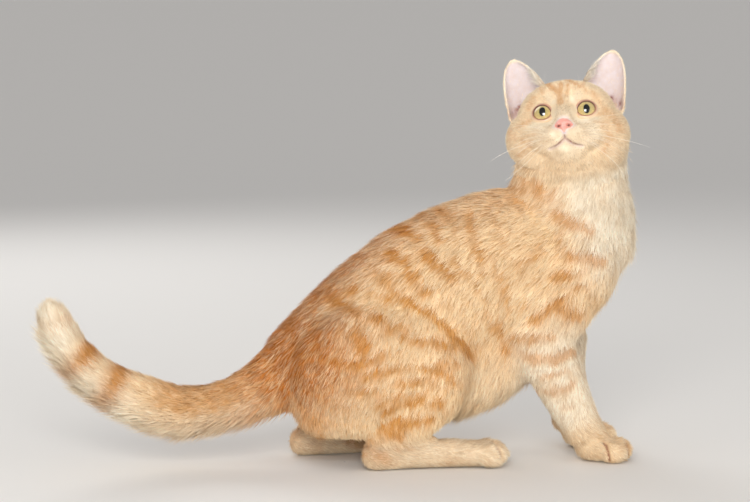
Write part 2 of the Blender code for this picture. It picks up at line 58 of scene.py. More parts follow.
# %% [markdown]
# ## Camera, floor and light
# The photographer stood about 1.8 m away, a little above the cat, and turned ten degrees
# towards its face. A long lens keeps the proportions calm. The floor is one pale sheet, and
# the light comes from two big soft lamps with a pale room around them.

# %% Camera
CAMERA_TURN = math.radians(10.0)
CAMERA_DOWN = math.atan(0.101)
CAMERA_AWAY, CAMERA_HEIGHT, LENS = 1.83, 0.38, 96.0

forward = Vector((math.sin(CAMERA_TURN), math.cos(CAMERA_TURN), 0.0))
camera_at = Vector((0.0365, 0.0, CAMERA_HEIGHT)) - CAMERA_AWAY * forward + Vector(SHIFT)
camera = bpy.data.objects.new("camera", bpy.data.cameras.new("camera"))
camera.data.lens, camera.data.sensor_width = LENS, 36.0
camera.location = camera_at
camera.rotation_euler = (math.pi / 2 - CAMERA_DOWN, 0.0, -CAMERA_TURN)
bpy.context.scene.collection.objects.link(camera)
bpy.context.scene.camera = camera
bpy.context.scene.view_settings.view_transform = "Standard"
print("camera stands at", [round(v, 3) for v in camera_at])

# %% Meshes from arrays
def mesh_object(name, points, faces, smooth=True):
    """A mesh object from an array of points (n, 3) and an array of faces, all with as many corners."""
    mesh = bpy.data.meshes.new(name)
    mesh.vertices.add(len(points))
    mesh.vertices.foreach_set("co", np.ascontiguousarray(points, np.float32).ravel())
    mesh.loops.add(faces.size)
    mesh.loops.foreach_set("vertex_index", np.ascontiguousarray(faces, np.int32).ravel())
    mesh.polygons.add(len(faces))
    mesh.polygons.foreach_set("loop_start", np.arange(len(faces), dtype=np.int32) * faces.shape[1])
    mesh.polygons.foreach_set("use_smooth", np.full(len(faces), smooth))
    mesh.update(calc_edges=True)
    obj = bpy.data.objects.new(name, mesh)
    bpy.context.scene.collection.objects.link(obj)
    return obj


def numbers(collection, what, width=3, kind=np.float32):
    """One property of every item of a mesh's collection, as an array."""
    out = np.empty(len(collection) * width, kind)
    collection.foreach_get(what, out)
    return out.reshape(-1, width) if width > 1 else out


def give(mesh, name, values):
    """Stores one number per vertex under a name that the material reads."""
    attribute = mesh.attributes.get(name) or mesh.attributes.new(name, "FLOAT", "POINT")
    attribute.data.foreach_set("value", np.ascontiguousarray(values, np.float32))


def ease(x, low, high):
    """0 below low, 1 above high, and a soft S-curve 3t^2 - 2t^3 between them."""
    t = np.clip((x - low) / (high - low), 0.0, 1.0)
    return t * t * (3.0 - 2.0 * t)


def unit(v):
    """Each row divided by its length."""
    return v / np.maximum(np.linalg.norm(v, axis=-1, keepdims=True), 1e-9)


def ring_faces(rings, columns):
    """The squares between neighbouring rings, each with as many points in a circle."""
    r, c = np.meshgrid(np.arange(rings - 1), np.arange(columns), indexing="ij")
    n = (c + 1) % columns
    corners = [r * columns + c, r * columns + n, (r + 1) * columns + n, (r + 1) * columns + c]
    return np.stack(corners, -1).reshape(-1, 4)


def close_ends(mesh):
    """Fills the open ends of a mesh and turns every face outwards."""
    shape = bmesh.new()
    shape.from_mesh(mesh)
    bmesh.ops.holes_fill(shape, edges=shape.edges[:], sides=0)
    bmesh.ops.recalc_face_normals(shape, faces=shape.faces[:])
    shape.to_mesh(mesh)
    shape.free()


# %% Floor and lamps
def plain_material(name, colour, roughness):
    material = bpy.data.materials.new(name)
    material.use_nodes = True
    shader = material.node_tree.nodes["Principled BSDF"]
    shader.inputs["Base Color"].default_value = (*colour, 1.0)
    shader.inputs["Roughness"].default_value = roughness
    return material


def floor_sheet():
    """A round sheet, flat to 4 m and then curling up, so no horizon shows: z = 3 ease(r, 4, 14) metres."""
    r = np.concatenate([[0.001], np.linspace(0.5, 4, 8), np.linspace(4.4, 14, 24)])[:, None]
    turn = np.linspace(0, 2 * math.pi, 96, endpoint=False)[None]
    places = np.stack([r * np.cos(turn), r * np.sin(turn), 3.0 * ease(r, 4, 14) - 0.0004 + 0 * turn], -1)
    return mesh_object("floor", places.reshape(-1, 3), ring_faces(len(r), 96)[:, ::-1])


floor = floor_sheet()
floor.data.materials.append(plain_material("floor_paper", (0.86, 0.835, 0.80), 0.9))


def lamp(name, at, to, size, power, colour=(1.0, 1.0, 1.0)):
    """A square soft lamp at a point, turned to face another."""
    light = bpy.data.lights.new(name, "AREA")
    light.size, light.energy, light.color = size, power, colour
    obj = bpy.data.objects.new(name, light)
    obj.location = at
    obj.rotation_euler = (Vector(to) - Vector(at)).to_track_quat("-Z", "Y").to_euler()
    bpy.context.scene.collection.objects.link(obj)
    return obj


MIDDLE = (0.05, 0.0, 0.18)
lamp("key_lamp", (-0.45, -2.0, 0.95), MIDDLE, 0.9, 26.5, (1.0, 0.98, 0.95))
lamp("fill_lamp", (1.5, -1.7, 0.8), MIDDLE, 1.4, 7.0)
lamp("back_lamp", (-0.6, 1.9, 1.6), MIDDLE, 1.4, 16.0)
shine = lamp("shine_lamp", (-0.45, -1.98, 0.945), MIDDLE, 0.9, 50.0)
shine.visible_diffuse = False  # it only makes the highlights of wet parts as bright as the photo's
room = bpy.data.worlds.new("pale_room")
room.use_nodes = True
room.node_tree.nodes["Background"].inputs["Color"].default_value = (0.93, 0.93, 0.94, 1.0)
room.node_tree.nodes["Background"].inputs["Strength"].default_value = 0.53
bpy.context.scene.world = room

# %% [markdown]
# ## One skin over the flesh
# Under the fur a cat is one surface. The solids are separate parts with thin cuts between
# them, so copies of them are grown until they overlap, melted into one surface of small
# squares, and smoothed. A plain smoothing would shrink the ears away, so each inward step is
# followed by a slightly larger outward one, which keeps the size.

# %% Melt the solids into one surface
GROWN, SQUARE = 0.0004, 0.0019


def grown_copy(names):
    """One mesh of all the named solids, each corner moved out along its normal."""
    shape = bmesh.new()
    for name in names:
        shape.from_mesh(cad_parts[name].data)
    bmesh.ops.remove_doubles(shape, verts=shape.verts, dist=1e-5)
    mesh = bpy.data.meshes.new("flesh")
    shape.to_mesh(mesh)
    shape.free()
    points = numbers(mesh.vertices, "co") + numbers(mesh.vertex_normals, "vector") * GROWN
    mesh.vertices.foreach_set("co", points.ravel())
    return mesh


def with_modifiers(obj):
    """The mesh of an object as its modifiers leave it."""
    graph = bpy.context.evaluated_depsgraph_get()
    return bpy.data.meshes.new_from_object(obj.evaluated_get(graph))


def melted_copy(names, square):
    """The named solids as one surface of squares of that size."""
    flesh = bpy.data.objects.new("flesh", grown_copy(names))
    bpy.context.scene.collection.objects.link(flesh)
    melt = flesh.modifiers.new("melt", "REMESH")
    melt.mode, melt.voxel_size = "VOXEL", square
    melted = with_modifiers(flesh)
    bpy.data.objects.remove(flesh)
    return melted


melted = melted_copy(list(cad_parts), SQUARE)
print("melted surface:", len(melted.polygons), "squares")


# %% Keep the outer shell and smooth it
def shell_of(points, edges):
    """Which points belong to the largest piece: every point takes the smallest number that it can reach."""
    group = np.arange(len(points))
    while True:
        low = np.minimum(group[edges[:, 0]], group[edges[:, 1]])
        reached = group.copy()
        np.minimum.at(reached, edges[:, 0], low)
        np.minimum.at(reached, edges[:, 1], low)
        reached = reached[reached]
        if (reached == group).all():
            return group == np.bincount(group).argmax()
        group = reached


class Web:
    """The neighbours of every point, and averages over them."""

    def __init__(self, edges, count):
        start = np.concatenate([edges[:, 0], edges[:, 1]])
        order = np.argsort(start, kind="stable")
        self.ends = np.concatenate([edges[:, 1], edges[:, 0]])[order]
        self.counts = np.bincount(start, minlength=count)[:, None]
        self.first = np.concatenate([[0], np.cumsum(self.counts)[:-1]])

    def smoothed(self, values, rounds, step=1.0):
        for _ in range(rounds):
            mean = np.add.reduceat(values[self.ends], self.first, axis=0) / self.counts
            values = values + step * (mean - values)
        return values

    def relaxed(self, points, rounds):
        """Inward and outward smoothing in turn, which takes the noise and leaves the size."""
        for _ in range(rounds):
            points = self.smoothed(self.smoothed(points, 1, 0.5), 1, -0.53)
        return points


points = numbers(melted.vertices, "co").astype(float)
edges = numbers(melted.edges, "vertices", 2, np.int32)
squares = numbers(melted.loops, "vertex_index", 1, np.int32).reshape(-1, 4)
kept = shell_of(points, edges)
renamed = np.cumsum(kept) - 1
squares = renamed[squares[kept[squares[:, 0]]]]
skin = mesh_object("skin", points[kept], squares)
web = Web(numbers(skin.data.edges, "vertices", 2, np.int32), len(skin.data.vertices))
skin.data.vertices.foreach_set("co", web.relaxed(points[kept], 12).astype(np.float32).ravel())
skin.data.update()
print("skin:", len(skin.data.polygons), "squares,", int((~kept).sum()), "loose points left out")

# %% [markdown]
# ## The head's own directions
# The head is turned and tilted, so a place on the face is easier to tell from the head itself:
# forwards to the nose, to the cat's left, and up. One turn changes from the room's directions
# to the head's, and its reverse changes back.

# %% The turn of the head
HEAD = (
    Matrix.Translation(Vector((0.2143, -0.012, 0.311)) + Vector(SHIFT))
    @ Matrix.Rotation(math.radians(-110.4), 4, "Z")
    @ Matrix.Rotation(math.radians(-20.0), 4, "Y")
    @ Matrix.Rotation(math.radians(6.0), 4, "X")
)
HEAD_TURN, HEAD_AT = np.array(HEAD.to_3x3()), np.array(HEAD.translation)


def in_head(points):
    """Points of the room, told in the head's own directions."""
    return (points - HEAD_AT) @ HEAD_TURN


def from_head(points):
    return points @ HEAD_TURN.T + HEAD_AT


# %% Thin the skin where fur hides it
THINNED = 0.48
x, y, z = numbers(skin.data.vertices, "co").T
hidden = (1 - ease(z, 0.245, 0.26)) * (ease(z, 0.05, 0.07) + (x < -0.06) > 0)
x, y, z = in_head(numbers(skin.data.vertices, "co").astype(float)).T
hidden = np.maximum(hidden, (x < -0.002) * (z < 0.025) * (z > -0.05))
group = skin.vertex_groups.new(name="hidden")
group.add(np.flatnonzero(hidden > 0.5).tolist(), 1.0, "REPLACE")
thin = skin.modifiers.new("thin", "DECIMATE")
thin.ratio, thin.vertex_group = THINNED, "hidden"
thinned = with_modifiers(skin)
skin.modifiers.clear()
skin.vertex_groups.clear()
skin.data = thinned
print("thinned skin:", len(thinned.polygons), "faces")

# %% [markdown]
# ## A finer face
# The body's skin hides under fur, so its squares may stay coarse. The face, the ears and the
# toes show: their squares are split, pulled back onto the solids, and relaxed again.

# %% Split the squares of the face, ears and toes
FINE_SQUARE = 0.0009


def split(mesh, chosen):
    """Cuts every edge of the chosen faces, so that each square becomes a small grid."""
    shape = bmesh.new()
    shape.from_mesh(mesh)
    shape.faces.ensure_lookup_table()
    sides = {edge for i in np.flatnonzero(chosen) for edge in shape.faces[i].edges}
    bmesh.ops.subdivide_edges(shape, edges=list(sides), cuts=1, use_grid_fill=True)
    shape.to_mesh(mesh)
    shape.free()


for reach in (
    lambda x, y, z: (x > 0.008) & (abs(y) < 0.048) & (z > -0.046) & (z < 0.040) & (x < 0.08),
    lambda x, y, z: (x > 0.022) & (abs(y) < 0.034) & (z > -0.042) & (z < 0.018) & (x < 0.08),
    lambda x, y, z: (x < 0.012) & (x > -0.03) & (abs(y) > 0.014) & (abs(y) < 0.062) & (z > 0.03) & (z < 0.08),
):
    split(skin.data, reach(*in_head(numbers(skin.data.polygons, "center").astype(float)).T))
x, y, z = numbers(skin.data.polygons, "center").T
split(skin.data, (z < 0.026) & ((x > 0.215) | (abs(x - 0.085) < 0.025)))

x, y, z = in_head(numbers(skin.data.vertices, "co").astype(float)).T
fine = ease(x, 0.0, 0.008) * (abs(y) < 0.055) * (z > -0.05) * (z < 0.05)
fine = np.maximum(fine, (z > 0.028) * (z < 0.08) * (x > -0.03) * (x < 0.02) * (abs(y) < 0.065))
target = bpy.data.objects.new("target", melted_copy([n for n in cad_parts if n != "torso"], FINE_SQUARE))
group = skin.vertex_groups.new(name="fine")
for tenths in range(1, 11):
    group.add(np.flatnonzero(np.round(fine * 10) == tenths).tolist(), tenths / 10, "REPLACE")
bpy.context.scene.collection.objects.link(target)
wrap = skin.modifiers.new("wrap", "SHRINKWRAP")
wrap.target, wrap.vertex_group = target, "fine"
fitted = with_modifiers(skin)
skin.modifiers.clear()
skin.vertex_groups.clear()
web = Web(numbers(fitted.edges, "vertices", 2, np.int32), len(fitted.vertices))
points = web.relaxed(numbers(fitted.vertices, "co").astype(float), 3)
skin.data = fitted
bpy.data.objects.remove(target)
print("skin with a fine face:", len(fitted.polygons), "faces")

# %% [markdown]
# ## Room for eyes, nose and mouth
# Eyeballs, lids and nose leather are pieces of their own, so the skin only makes room for them.
# Each opening is an outline round a middle, and a place is told by its share of the outline's
# reach in its own direction: 1 is on the outline, 0.5 half way in. The same measure later keeps
# the fur off the bare parts.

# %% The openings of the eyes
EYE_RADIUS, EYE_OUT, EYE_TALL = 0.0108, 0.0087, 0.0075
EYE_SIDES = {"left": 1, "right": -1}
EYE_AT = {name: np.array([0.0240, side * 0.0186, 0.0016]) for name, side in EYE_SIDES.items()}


def turned(outwards, down, side):
    """The turn of an eye or its lids away from straight ahead, in degrees."""
    yaw, pitch = (math.radians(v) for v in (outwards * side, down))
    return np.array(Matrix.Rotation(yaw, 3, "Z") @ Matrix.Rotation(pitch, 3, "Y"))


LID_TURN = {name: turned(13.0, -6.0, side) for name, side in EYE_SIDES.items()}


def almond(b, side):
    """The opening of the lids: an ellipse pinched at its corners, with the outer corner raised."""
    across, up = np.cos(b), np.sin(b)
    tall = EYE_TALL * np.where(up > 0, 1.0, 0.92) * (1 - 0.16 * across**4)
    return np.stack([side * EYE_OUT * across, tall * up + 0.10 * EYE_OUT * across], -1)


def share_of(flat, outline):
    """How far out flat places lie, as a share of the outline's reach in the same direction."""
    turn, reach = np.arctan2(outline[:, 1], outline[:, 0]), np.hypot(*outline.T)
    return np.hypot(*flat.T) / np.interp(np.arctan2(flat[:, 1], flat[:, 0]), turn, reach, period=2 * math.pi)


def from_eye(places, name):
    """Places seen from an eye's middle: distance, direction, and share of the lids' opening by angle."""
    local = (in_head(places) - EYE_AT[name]) @ LID_TURN[name]
    far = np.linalg.norm(local, axis=1)
    angle = np.arccos(np.clip(local[:, 0] / far, -1, 1))
    rim = almond(np.linspace(0, 2 * math.pi, 240, endpoint=False), EYE_SIDES[name])
    rim = rim * (np.arcsin(np.hypot(*rim.T) / EYE_RADIUS) / np.hypot(*rim.T))[:, None]
    return far, local / far[:, None], share_of(unit(local[:, 1:]) * angle[:, None], rim)


# %% The outline of the nose and the line of the mouth
NOSE_MIDDLE = np.array([0.0553, 0.0, -0.0168])
NOSE_HALF = np.array([  # across and up from the middle, from the top down the left side
    (0.0, 5.5), (2.4, 5.3), (4.3, 4.3), (6.3, 2.4), (8.1, 0.4), (8.2, -1.0), (6.6, -2.4), (4.4, -3.3),
    (2.5, -4.3), (1.6, -5.6), (1.0, -6.8), (0.0, -7.6),
]) / 1000
NOSE_OUTLINE = np.concatenate([NOSE_HALF, NOSE_HALF[-2:0:-1] * [-1, 1]])
MOUTH_HALF = np.array([  # forwards, across and up from the middle of the head, from the nose to a corner
    (53.0, 0, -23.0), (50.0, 0, -26.5), (47.6, 0.0, -29.0), (46.8, 3.2, -31.4), (45.1, 6.4, -32.9),
    (42.4, 10.6, -34.3), (39.6, 14.6, -35.0),
]) / 1000
MOUTH = {name: MOUTH_HALF * [1, side, 1] for name, side in EYE_SIDES.items()}

# %% [markdown]
# ## What the coat does at each place
# A groomer knows for every part of a cat how long the hair is, how deep the coat lies, and
# which way it runs. Those are the columns of this table. Each point of the skin looks up the
# solid that it lies on, and the answers are blended over the borders.

# %% The groomer's table
#           coat depth, length, width of a tuft, lift of the tips (all in millimetres)
GROOM = {
    "torso": (3.6, 14.0, 0.60, 0.9),
    "neck": (3.8, 13.0, 0.60, 0.9),
    "head": (1.4, 5.2, 0.52, 0.8),
    "ear": (0.4, 3.4, 0.40, 0.4),
    "foreleg": (2.0, 8.0, 0.55, 0.8),
    "forepaw": (1.1, 4.8, 0.55, 0.7),
    "hindleg": (3.2, 13.0, 0.60, 0.9),
    "hindfoot": (1.3, 5.6, 0.55, 0.8),
    "tail": (4.2, 13.0, 0.60, 0.9),
}
KINDS = list(GROOM)


def kind_of(node):
    return "head" if node == "nose" or node.startswith("eye") else node.split("_")[0]


def gaps_to(points, places, rows=4000):
    """Each point's squared distance to the nearest place, from |p|^2 - 2 p.q + |q|^2."""
    blocks = [points[i : i + rows] for i in range(0, len(points), rows)]
    found = [((places**2).sum(1) - 2.0 * (block @ places.T)).min(1) for block in blocks]
    return np.concatenate(found) + (points**2).sum(1)


NEAR = 0.012
closest, kind = np.full(len(points), np.inf), np.zeros(len(points), int)
for name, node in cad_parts.items():
    low, high = (np.array(corner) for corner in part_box(name))
    around = np.flatnonzero(((points > low - NEAR) & (points < high + NEAR)).all(1))
    places = np.unique(numbers(node.data.vertices, "co"), axis=0)
    gap = gaps_to(points[around].astype(np.float32), places)
    nearer = gap < closest[around]
    closest[around[nearer]] = gap[nearer]
    kind[around[nearer]] = KINDS.index(kind_of(name))
shares = web.smoothed(np.eye(len(KINDS))[kind], 24)
depth, length, width, lift = (shares @ np.array([GROOM[k] for k in KINDS]) / 1000.0).T
share = dict(zip(KINDS, shares.T))
print("points by part:", dict(zip(KINDS, np.bincount(kind).tolist())))


# %% Where the coat differs inside a part
def along(points, line):
    """Nearest place on a line of points: how far along it (0 to 1), how far away, and the line's way there."""
    line = np.asarray(line, float)
    a, d = line[:-1], np.diff(line, axis=0)
    run = np.linalg.norm(d, axis=1)
    start = np.concatenate([[0], np.cumsum(run)])
    t = np.clip((np.einsum("nsk,sk->ns", points[:, None] - a, d)) / run**2, 0.0, 1.0)
    away = np.linalg.norm(points[:, None] - (a + t[..., None] * d), axis=2)
    best = away.argmin(1)
    rows = np.arange(len(points))
    return (start[best] + t[rows, best] * run[best]) / start[-1], away[rows, best], unit(d)[best]


TAIL_LINE = SHIFT + [
    (-0.020, 0, 0.1), (-0.044, 0, 0.083), (-0.066, 0, 0.071), (-0.088, 0, 0.0605), (-0.114, 0, 0.054),
    (-0.142, -0.001, 0.052), (-0.168, -0.002, 0.059), (-0.1945, -0.003, 0.0705), (-0.219, -0.004, 0.0858),
    (-0.2385, -0.005, 0.1055), (-0.2515, -0.006, 0.1275), (-0.257, -0.006, 0.150),
]
BACK_LINE = SHIFT + [
    (0.235, 0, 0.235), (0.190, 0, 0.236), (0.150, 0, 0.236), (0.110, 0, 0.228), (0.070, 0, 0.211),
    (0.030, 0, 0.186), (0.0, 0, 0.160), (-0.025, 0, 0.127), (-0.045, 0, 0.100), (-0.075, 0, 0.082),
]
down_tail, off_tail, tail_way = along(points, TAIL_LINE)
down_back, off_back, back_way = along(points, BACK_LINE)
low = ease(off_back, 0.015, 0.11)  # 0 on the back, 1 on the belly
face = in_head(points)
print("tail reaches", round(float(down_tail.max()), 2), "back reaches", round(float(down_back.max()), 2))

belly = share["torso"] * ease(-points[:, 2], -0.135, -0.085) * ease(points[:, 0], 0.02, 0.06)
chest = (share["torso"] + share["neck"]) * ease(points[:, 0], 0.19, 0.235)
muzzle = share["head"] * ease(face[:, 0], 0.024, 0.044) * ease(-face[:, 2], -0.002, 0.01)
brow = share["head"] * ease(face[:, 0], -0.005, 0.03)
over_foot = share["hindleg"] * (1 - ease(points[:, 2], 0.015, 0.06))
length = length * (1 + 0.4 * belly + 0.05 * chest - 0.5 * muzzle - 0.3 * brow - 0.55 * over_foot)
depth = depth * (1 + 0.25 * belly - 0.45 * brow - 0.45 * over_foot)
width = width * (1 - 0.25 * muzzle)
depth, length, width = web.smoothed(np.stack([depth, length, width], 1), 20).T


# %% Sink the skin under the coat
def normals_of(mesh, points):
    mesh.vertices.foreach_set("co", np.ascontiguousarray(points, np.float32).ravel())
    mesh.update()
    return numbers(mesh.vertex_normals, "vector").astype(float)


BORDERS = (
    ("head", "neck"), ("hindleg", "hindfoot"), ("foreleg", "forepaw"),
    ("neck", "torso"), ("tail", "torso"), ("hindleg", "torso"),
)
for one, other in BORDERS:
    border = np.clip(4 * share[one] * share[other], 0, 1) * (0.45 if other == "torso" else 0.9)
    points = points + border[:, None] * (web.smoothed(points, 24) - points)
outward = unit(web.smoothed(normals_of(skin.data, points), 4))
blended = np.zeros(len(points))  # where the throat runs into the jaw and the shank into the foot
for one, other in (("head", "neck"), ("hindleg", "hindfoot")):
    blended += web.smoothed(shares[:, [KINDS.index(one), KINDS.index(other)]], 60).prod(1) * 6.4
hollow = ((web.smoothed(points, 200) - points) * outward).sum(1)
x, y, z = in_head(points).T
crown = ease(z, 0.026, 0.044) * (1 - ease(abs(y), 0.012, 0.026)) * share["head"]
points = points + outward * (np.clip(blended, 0, 1) * np.clip(hollow, 0, 0.009) - depth - 0.0028 * crown)[:, None]

# %% [markdown]
# ## Toes
# A cat's toes are soft pads pressed together, and what shows is the dark line between two of
# them. A solid line would look like a cut, so each line is a chain of points on the foot, and
# the skin dips along it and swells a little beside it.


# %% The lines between the toes
def foot(x, y, turn):
    """Where a foot stands, and the turn that makes its own directions."""
    return np.array([x, y, 0.0]), np.array(Matrix.Rotation(math.radians(turn), 3, "Z"))


FEET = {
    ("forepaw", -1): foot(0.240, -0.034, -22.0), ("forepaw", 1): foot(0.246, 0.033, 8.0),
    ("hindfoot", -1): foot(0.030, -0.042, 0.0), ("hindfoot", 1): foot(-0.026, 0.036, 0.0),
}
CLEFTS = {  # forwards, outwards and up from the middle of the foot, in millimetres
    "forepaw": (
        ((7.0, 14.6, 18.7), (10.1, 17.2, 16.5), (12.1, 19.6, 11.5), (13.1, 19.2, 5.9), (13.4, 17.4, 2.7)),
        ((23.8, -3.3, 18.8), (27.4, 6.3, 17.0), (29.5, 8.1, 11.8), (29.5, 6.8, 5.9)),
    ),
    "hindfoot": (
        ((101.4, -4.0, 22.0), (105.4, 7.1, 22.2), (107.7, 17.1, 20.4), (110.1, 18.7, 16.0), (111.1, 18.8, 10.4)),
    ),
}

# %% Make room for the eyes and draw the mouth
# share of the opening, and the height over the eyeball in millimetres that the skin may reach there
SOCKET = np.array([(1.14, -1.6), (1.28, 0.8), (1.5, 2.0), (1.9, 3.6), (2.4, 7.0)])
face = in_head(points)
x, y, z = face.T
bridge = ease(x, 0.027, 0.034) * (1 - ease(x, 0.045, 0.053)) * ease(z, -0.013, -0.005)
bridge *= (1 - ease(z, 0.006, 0.014)) * (1 - ease(abs(y), 0.014, 0.019))
face[:, 1] *= 1 - 0.27 * bridge
x, y, z = face.T
pad = np.exp(-(((abs(y) - 0.0085) / 0.0055) ** 2 + ((z + 0.0275) / 0.0045) ** 2)) * (x > 0.03)
chin = np.exp(-((y / 0.0075) ** 2 + ((z + 0.039) / 0.005) ** 2)) * (x > 0.03)
points = from_head(face) + outward * (0.0012 * pad + 0.0016 * chin)[:, None]
BEFORE = {}
open_eye = np.full(len(points), 9.0)  # share of the nearer eye's opening
for name in EYE_SIDES:
    far, towards, step = from_eye(points, name)
    around = (far < 0.022) & (step < 2.6)
    BEFORE[name] = towards[around], far[around]
    room = EYE_RADIUS + np.interp(step, SOCKET[:, 0], SOCKET[:, 1] / 1000)
    push = np.minimum(room - far, 0) * (1 - ease(far, 0.018, 0.022))
    points += push[:, None] * (towards @ LID_TURN[name].T @ HEAD_TURN.T)
    open_eye = np.where(far < 0.022, np.minimum(open_eye, step), open_eye)

face = in_head(points)
x, y, z = face.T
front = np.flatnonzero((x > 0.028) & (abs(y) < 0.022) & (z > -0.045) & (z < -0.004))
lip = np.full(len(points), 1.0)  # distance from the line of the mouth
lip[front] = np.minimum(*(along(face[front], MOUTH[name])[1] for name in EYE_SIDES))
bare_nose = share_of(face[:, 1:] - NOSE_MIDDLE[1:], NOSE_OUTLINE) + 9.0 * (face[:, 0] < 0.042)
dent = 0.0013 * np.exp(-((lip / 0.0011) ** 2)) - 0.0005 * np.exp(-(((lip - 0.0030) / 0.0016) ** 2))
dent += 0.0010 * (1 - ease(bare_nose, 0.75, 1.05))
cleft = np.full(len(points), 1.0)  # distance from the lines between the toes
for (limb, side), (place, turn) in FEET.items():
    local = (points - SHIFT - place) @ turn
    near = np.flatnonzero((np.linalg.norm(local, axis=1) < 0.15) & (points[:, 2] < 0.03))
    for chain in CLEFTS[limb]:
        cleft[near] = np.minimum(cleft[near], along(local[near] * [1, side, 1], np.array(chain) / 1000)[1])
dent += 0.0014 * np.exp(-((cleft / 0.0011) ** 2)) - 0.0007 * np.exp(-(((cleft - 0.0036) / 0.0020) ** 2))
points = points - outward * dent[:, None]
print("points in the eye openings:", int((open_eye < 1).sum()), "in the mouth line:", int((lip < 0.001).sum()))

# %% Where no hair grows
EAR_AXIS = np.array([  # the middle of the hollow of the left ear from its base to its tip
    (-7.4, 31.8, 17.8), (-7.4, 35.9, 27.7), (-7.5, 39.1, 38.4), (-7.9, 41.8, 48.4), (-8.3, 44.0, 56.7),
    (-8.6, 45.6, 63.1), (-8.8, 46.4, 67.6), (-8.6, 47.0, 69.6), (-8.2, 47.1, 70.6),
]) / 1000
facing = normals_of(skin.data, points) @ HEAD_TURN
mirrored = np.stack([face[:, 0], abs(face[:, 1]), face[:, 2]], 1)
up_ear = along(mirrored, EAR_AXIS)[0]
run = np.concatenate([[0], np.cumsum(np.linalg.norm(np.diff(EAR_AXIS, axis=0), axis=1))])
hollow = np.stack([np.interp(up_ear, run / run[-1], EAR_AXIS[:, i]) for i in range(3)], 1) - mirrored
hollow[:, 1] *= np.sign(face[:, 1])
in_ear = ease(share["ear"], 0.25, 0.7) * ease((facing * unit(hollow)).sum(1), 0.05, 0.45) * (face[:, 0] > -0.03)
in_ear = web.smoothed(in_ear[:, None], 2)[:, 0]
bare = np.maximum.reduce([
    1 - ease(open_eye, 1.26, 1.36), 1 - ease(bare_nose, 1.02, 1.16), 0.85 * np.exp(-((lip / 0.0008) ** 2)),
    0.94 * in_ear, 0.9 * np.exp(-((cleft / 0.0012) ** 2)),
])
length = length * (0.35 + 0.65 * ease(cleft, 0.0, 0.005)) * (0.45 + 0.55 * ease(open_eye, 1.3, 2.0))
length = length * (1 - 0.7 * share["ear"] * ease(up_ear, 0.5, 0.85))
# painted shade: crease_shade darkens the hide and the tufts in the hollows of the feet, most of all along the lines
# between the toes
crease_shade = ease(((web.smoothed(points, 8) - points) * outward).sum(1), 0.00005, 0.0004)
crease_shade = crease_shade * (share["forepaw"] + share["hindfoot"])
crease_shade = np.maximum(0.5 * crease_shade, 1.4 * np.exp(-((cleft / 0.0014) ** 2)))
# darker red-brown at the lower outer corner inside each ear
EAR_CORNER_DARK = np.array([(-11.5, 49.0, 19.5), (-13.8, 45.2, 23.0), (-14.7, 42.3, 26.2), (-7.0, 51.5, 15.0)]) / 1000
ear_corner_dark = np.exp(-((np.linalg.norm(mirrored[:, None] - EAR_CORNER_DARK, axis=2).min(1) / 0.0031) ** 2))
print("share of the skin that is bare:", round(float(bare.mean()), 3))

# %% Measure the finished skin
outward = normals_of(skin.data, points)
skin.data.calc_loop_triangles()
triangles = numbers(skin.data.loop_triangles, "vertices", 3, np.int32)
corners = points[triangles]
areas = np.linalg.norm(np.cross(corners[:, 1] - corners[:, 0], corners[:, 2] - corners[:, 0]), axis=1) / 2
print("skin area in square cm:", round(float(areas.sum() * 1e4)), "triangles:", len(triangles))

# %% [markdown]
# ## Which way the hair runs
# Combed hair starts at the nose and flows back over the whole animal: up the forehead, out
# over the cheeks, down the throat and the legs, back along the spine and down the flanks, and
# along the tail to its tip. Each part has its own simple rule, and the rules are blended and
# laid flat on the skin.

# %% The lie of the coat
X, Y, Z = np.eye(3)
from_nose = face - [0.062, 0.0, -0.016]
head_way = unit(from_nose) @ HEAD_TURN.T
head_way = unit(head_way - 0.25 * Z * (1 - brow[:, None]))
torso_way = unit(back_way * (1.0 - 0.35 * low[:, None]) - Z * (0.25 + 0.9 * low[:, None]) - X * 0.1)
torso_way = unit(torso_way - Z * 2.2 * chest[:, None])
neck_way = unit(-Z - 0.28 * X)
ear_way = np.repeat((HEAD_TURN @ np.array([-0.15, 0.25, 1.0]))[None], len(points), 0)
fore_way = unit(-Z - 0.12 * X) + 0 * points
paw_way = unit(0.8 * X - 0.55 * Z) + 0 * points
hind_way = unit(-0.42 * X - 1.0 * Z) + 0.5 * X * ease(-points[:, 2:3], -0.075, -0.04)
foot_way = unit(X - 0.15 * Z) + 0 * points
ways = [torso_way, neck_way, head_way, ear_way, fore_way, paw_way, hind_way, foot_way, tail_way]
way = sum(shares[:, i : i + 1] * unit(w + 0 * points) for i, w in enumerate(ways))


def laid_flat(way, outward):
    """The part of each direction that runs along the skin."""
    return unit(way - outward * (way * outward).sum(1, keepdims=True))


for _ in range(4):
    way = laid_flat(web.smoothed(laid_flat(way, outward), 6), outward)


# %% Smooth random drift
def drift(points, size, seed):
    """Random numbers on a lattice of that size, blended between the eight nearest with soft weights."""
    lattice = np.random.default_rng(seed).uniform(-1, 1, (64, 64, 64))
    q = points / size + 17.3
    cell = np.floor(q).astype(int)
    part = q - cell
    part = part * part * (3 - 2 * part)
    total = np.zeros(len(points))
    for corner in np.ndindex(2, 2, 2):
        weight = np.prod(np.where(corner, part, 1 - part), axis=1)
        total += weight * lattice[tuple(((cell + corner) % 64).T)]
    return total


# %% [markdown]
# ## The markings
# The coat is a red tabby on cream: broken bars on the flank, curved bars on the haunch, rings
# on the legs and tail, a necklace, and lines on the brow and cheeks. Each bar is one stroke in
# the side view, with its two ends in millimetres, its width and its strength. The same strokes
# serve both sides, and a slow drift bends them so that the two sides aren't copies.

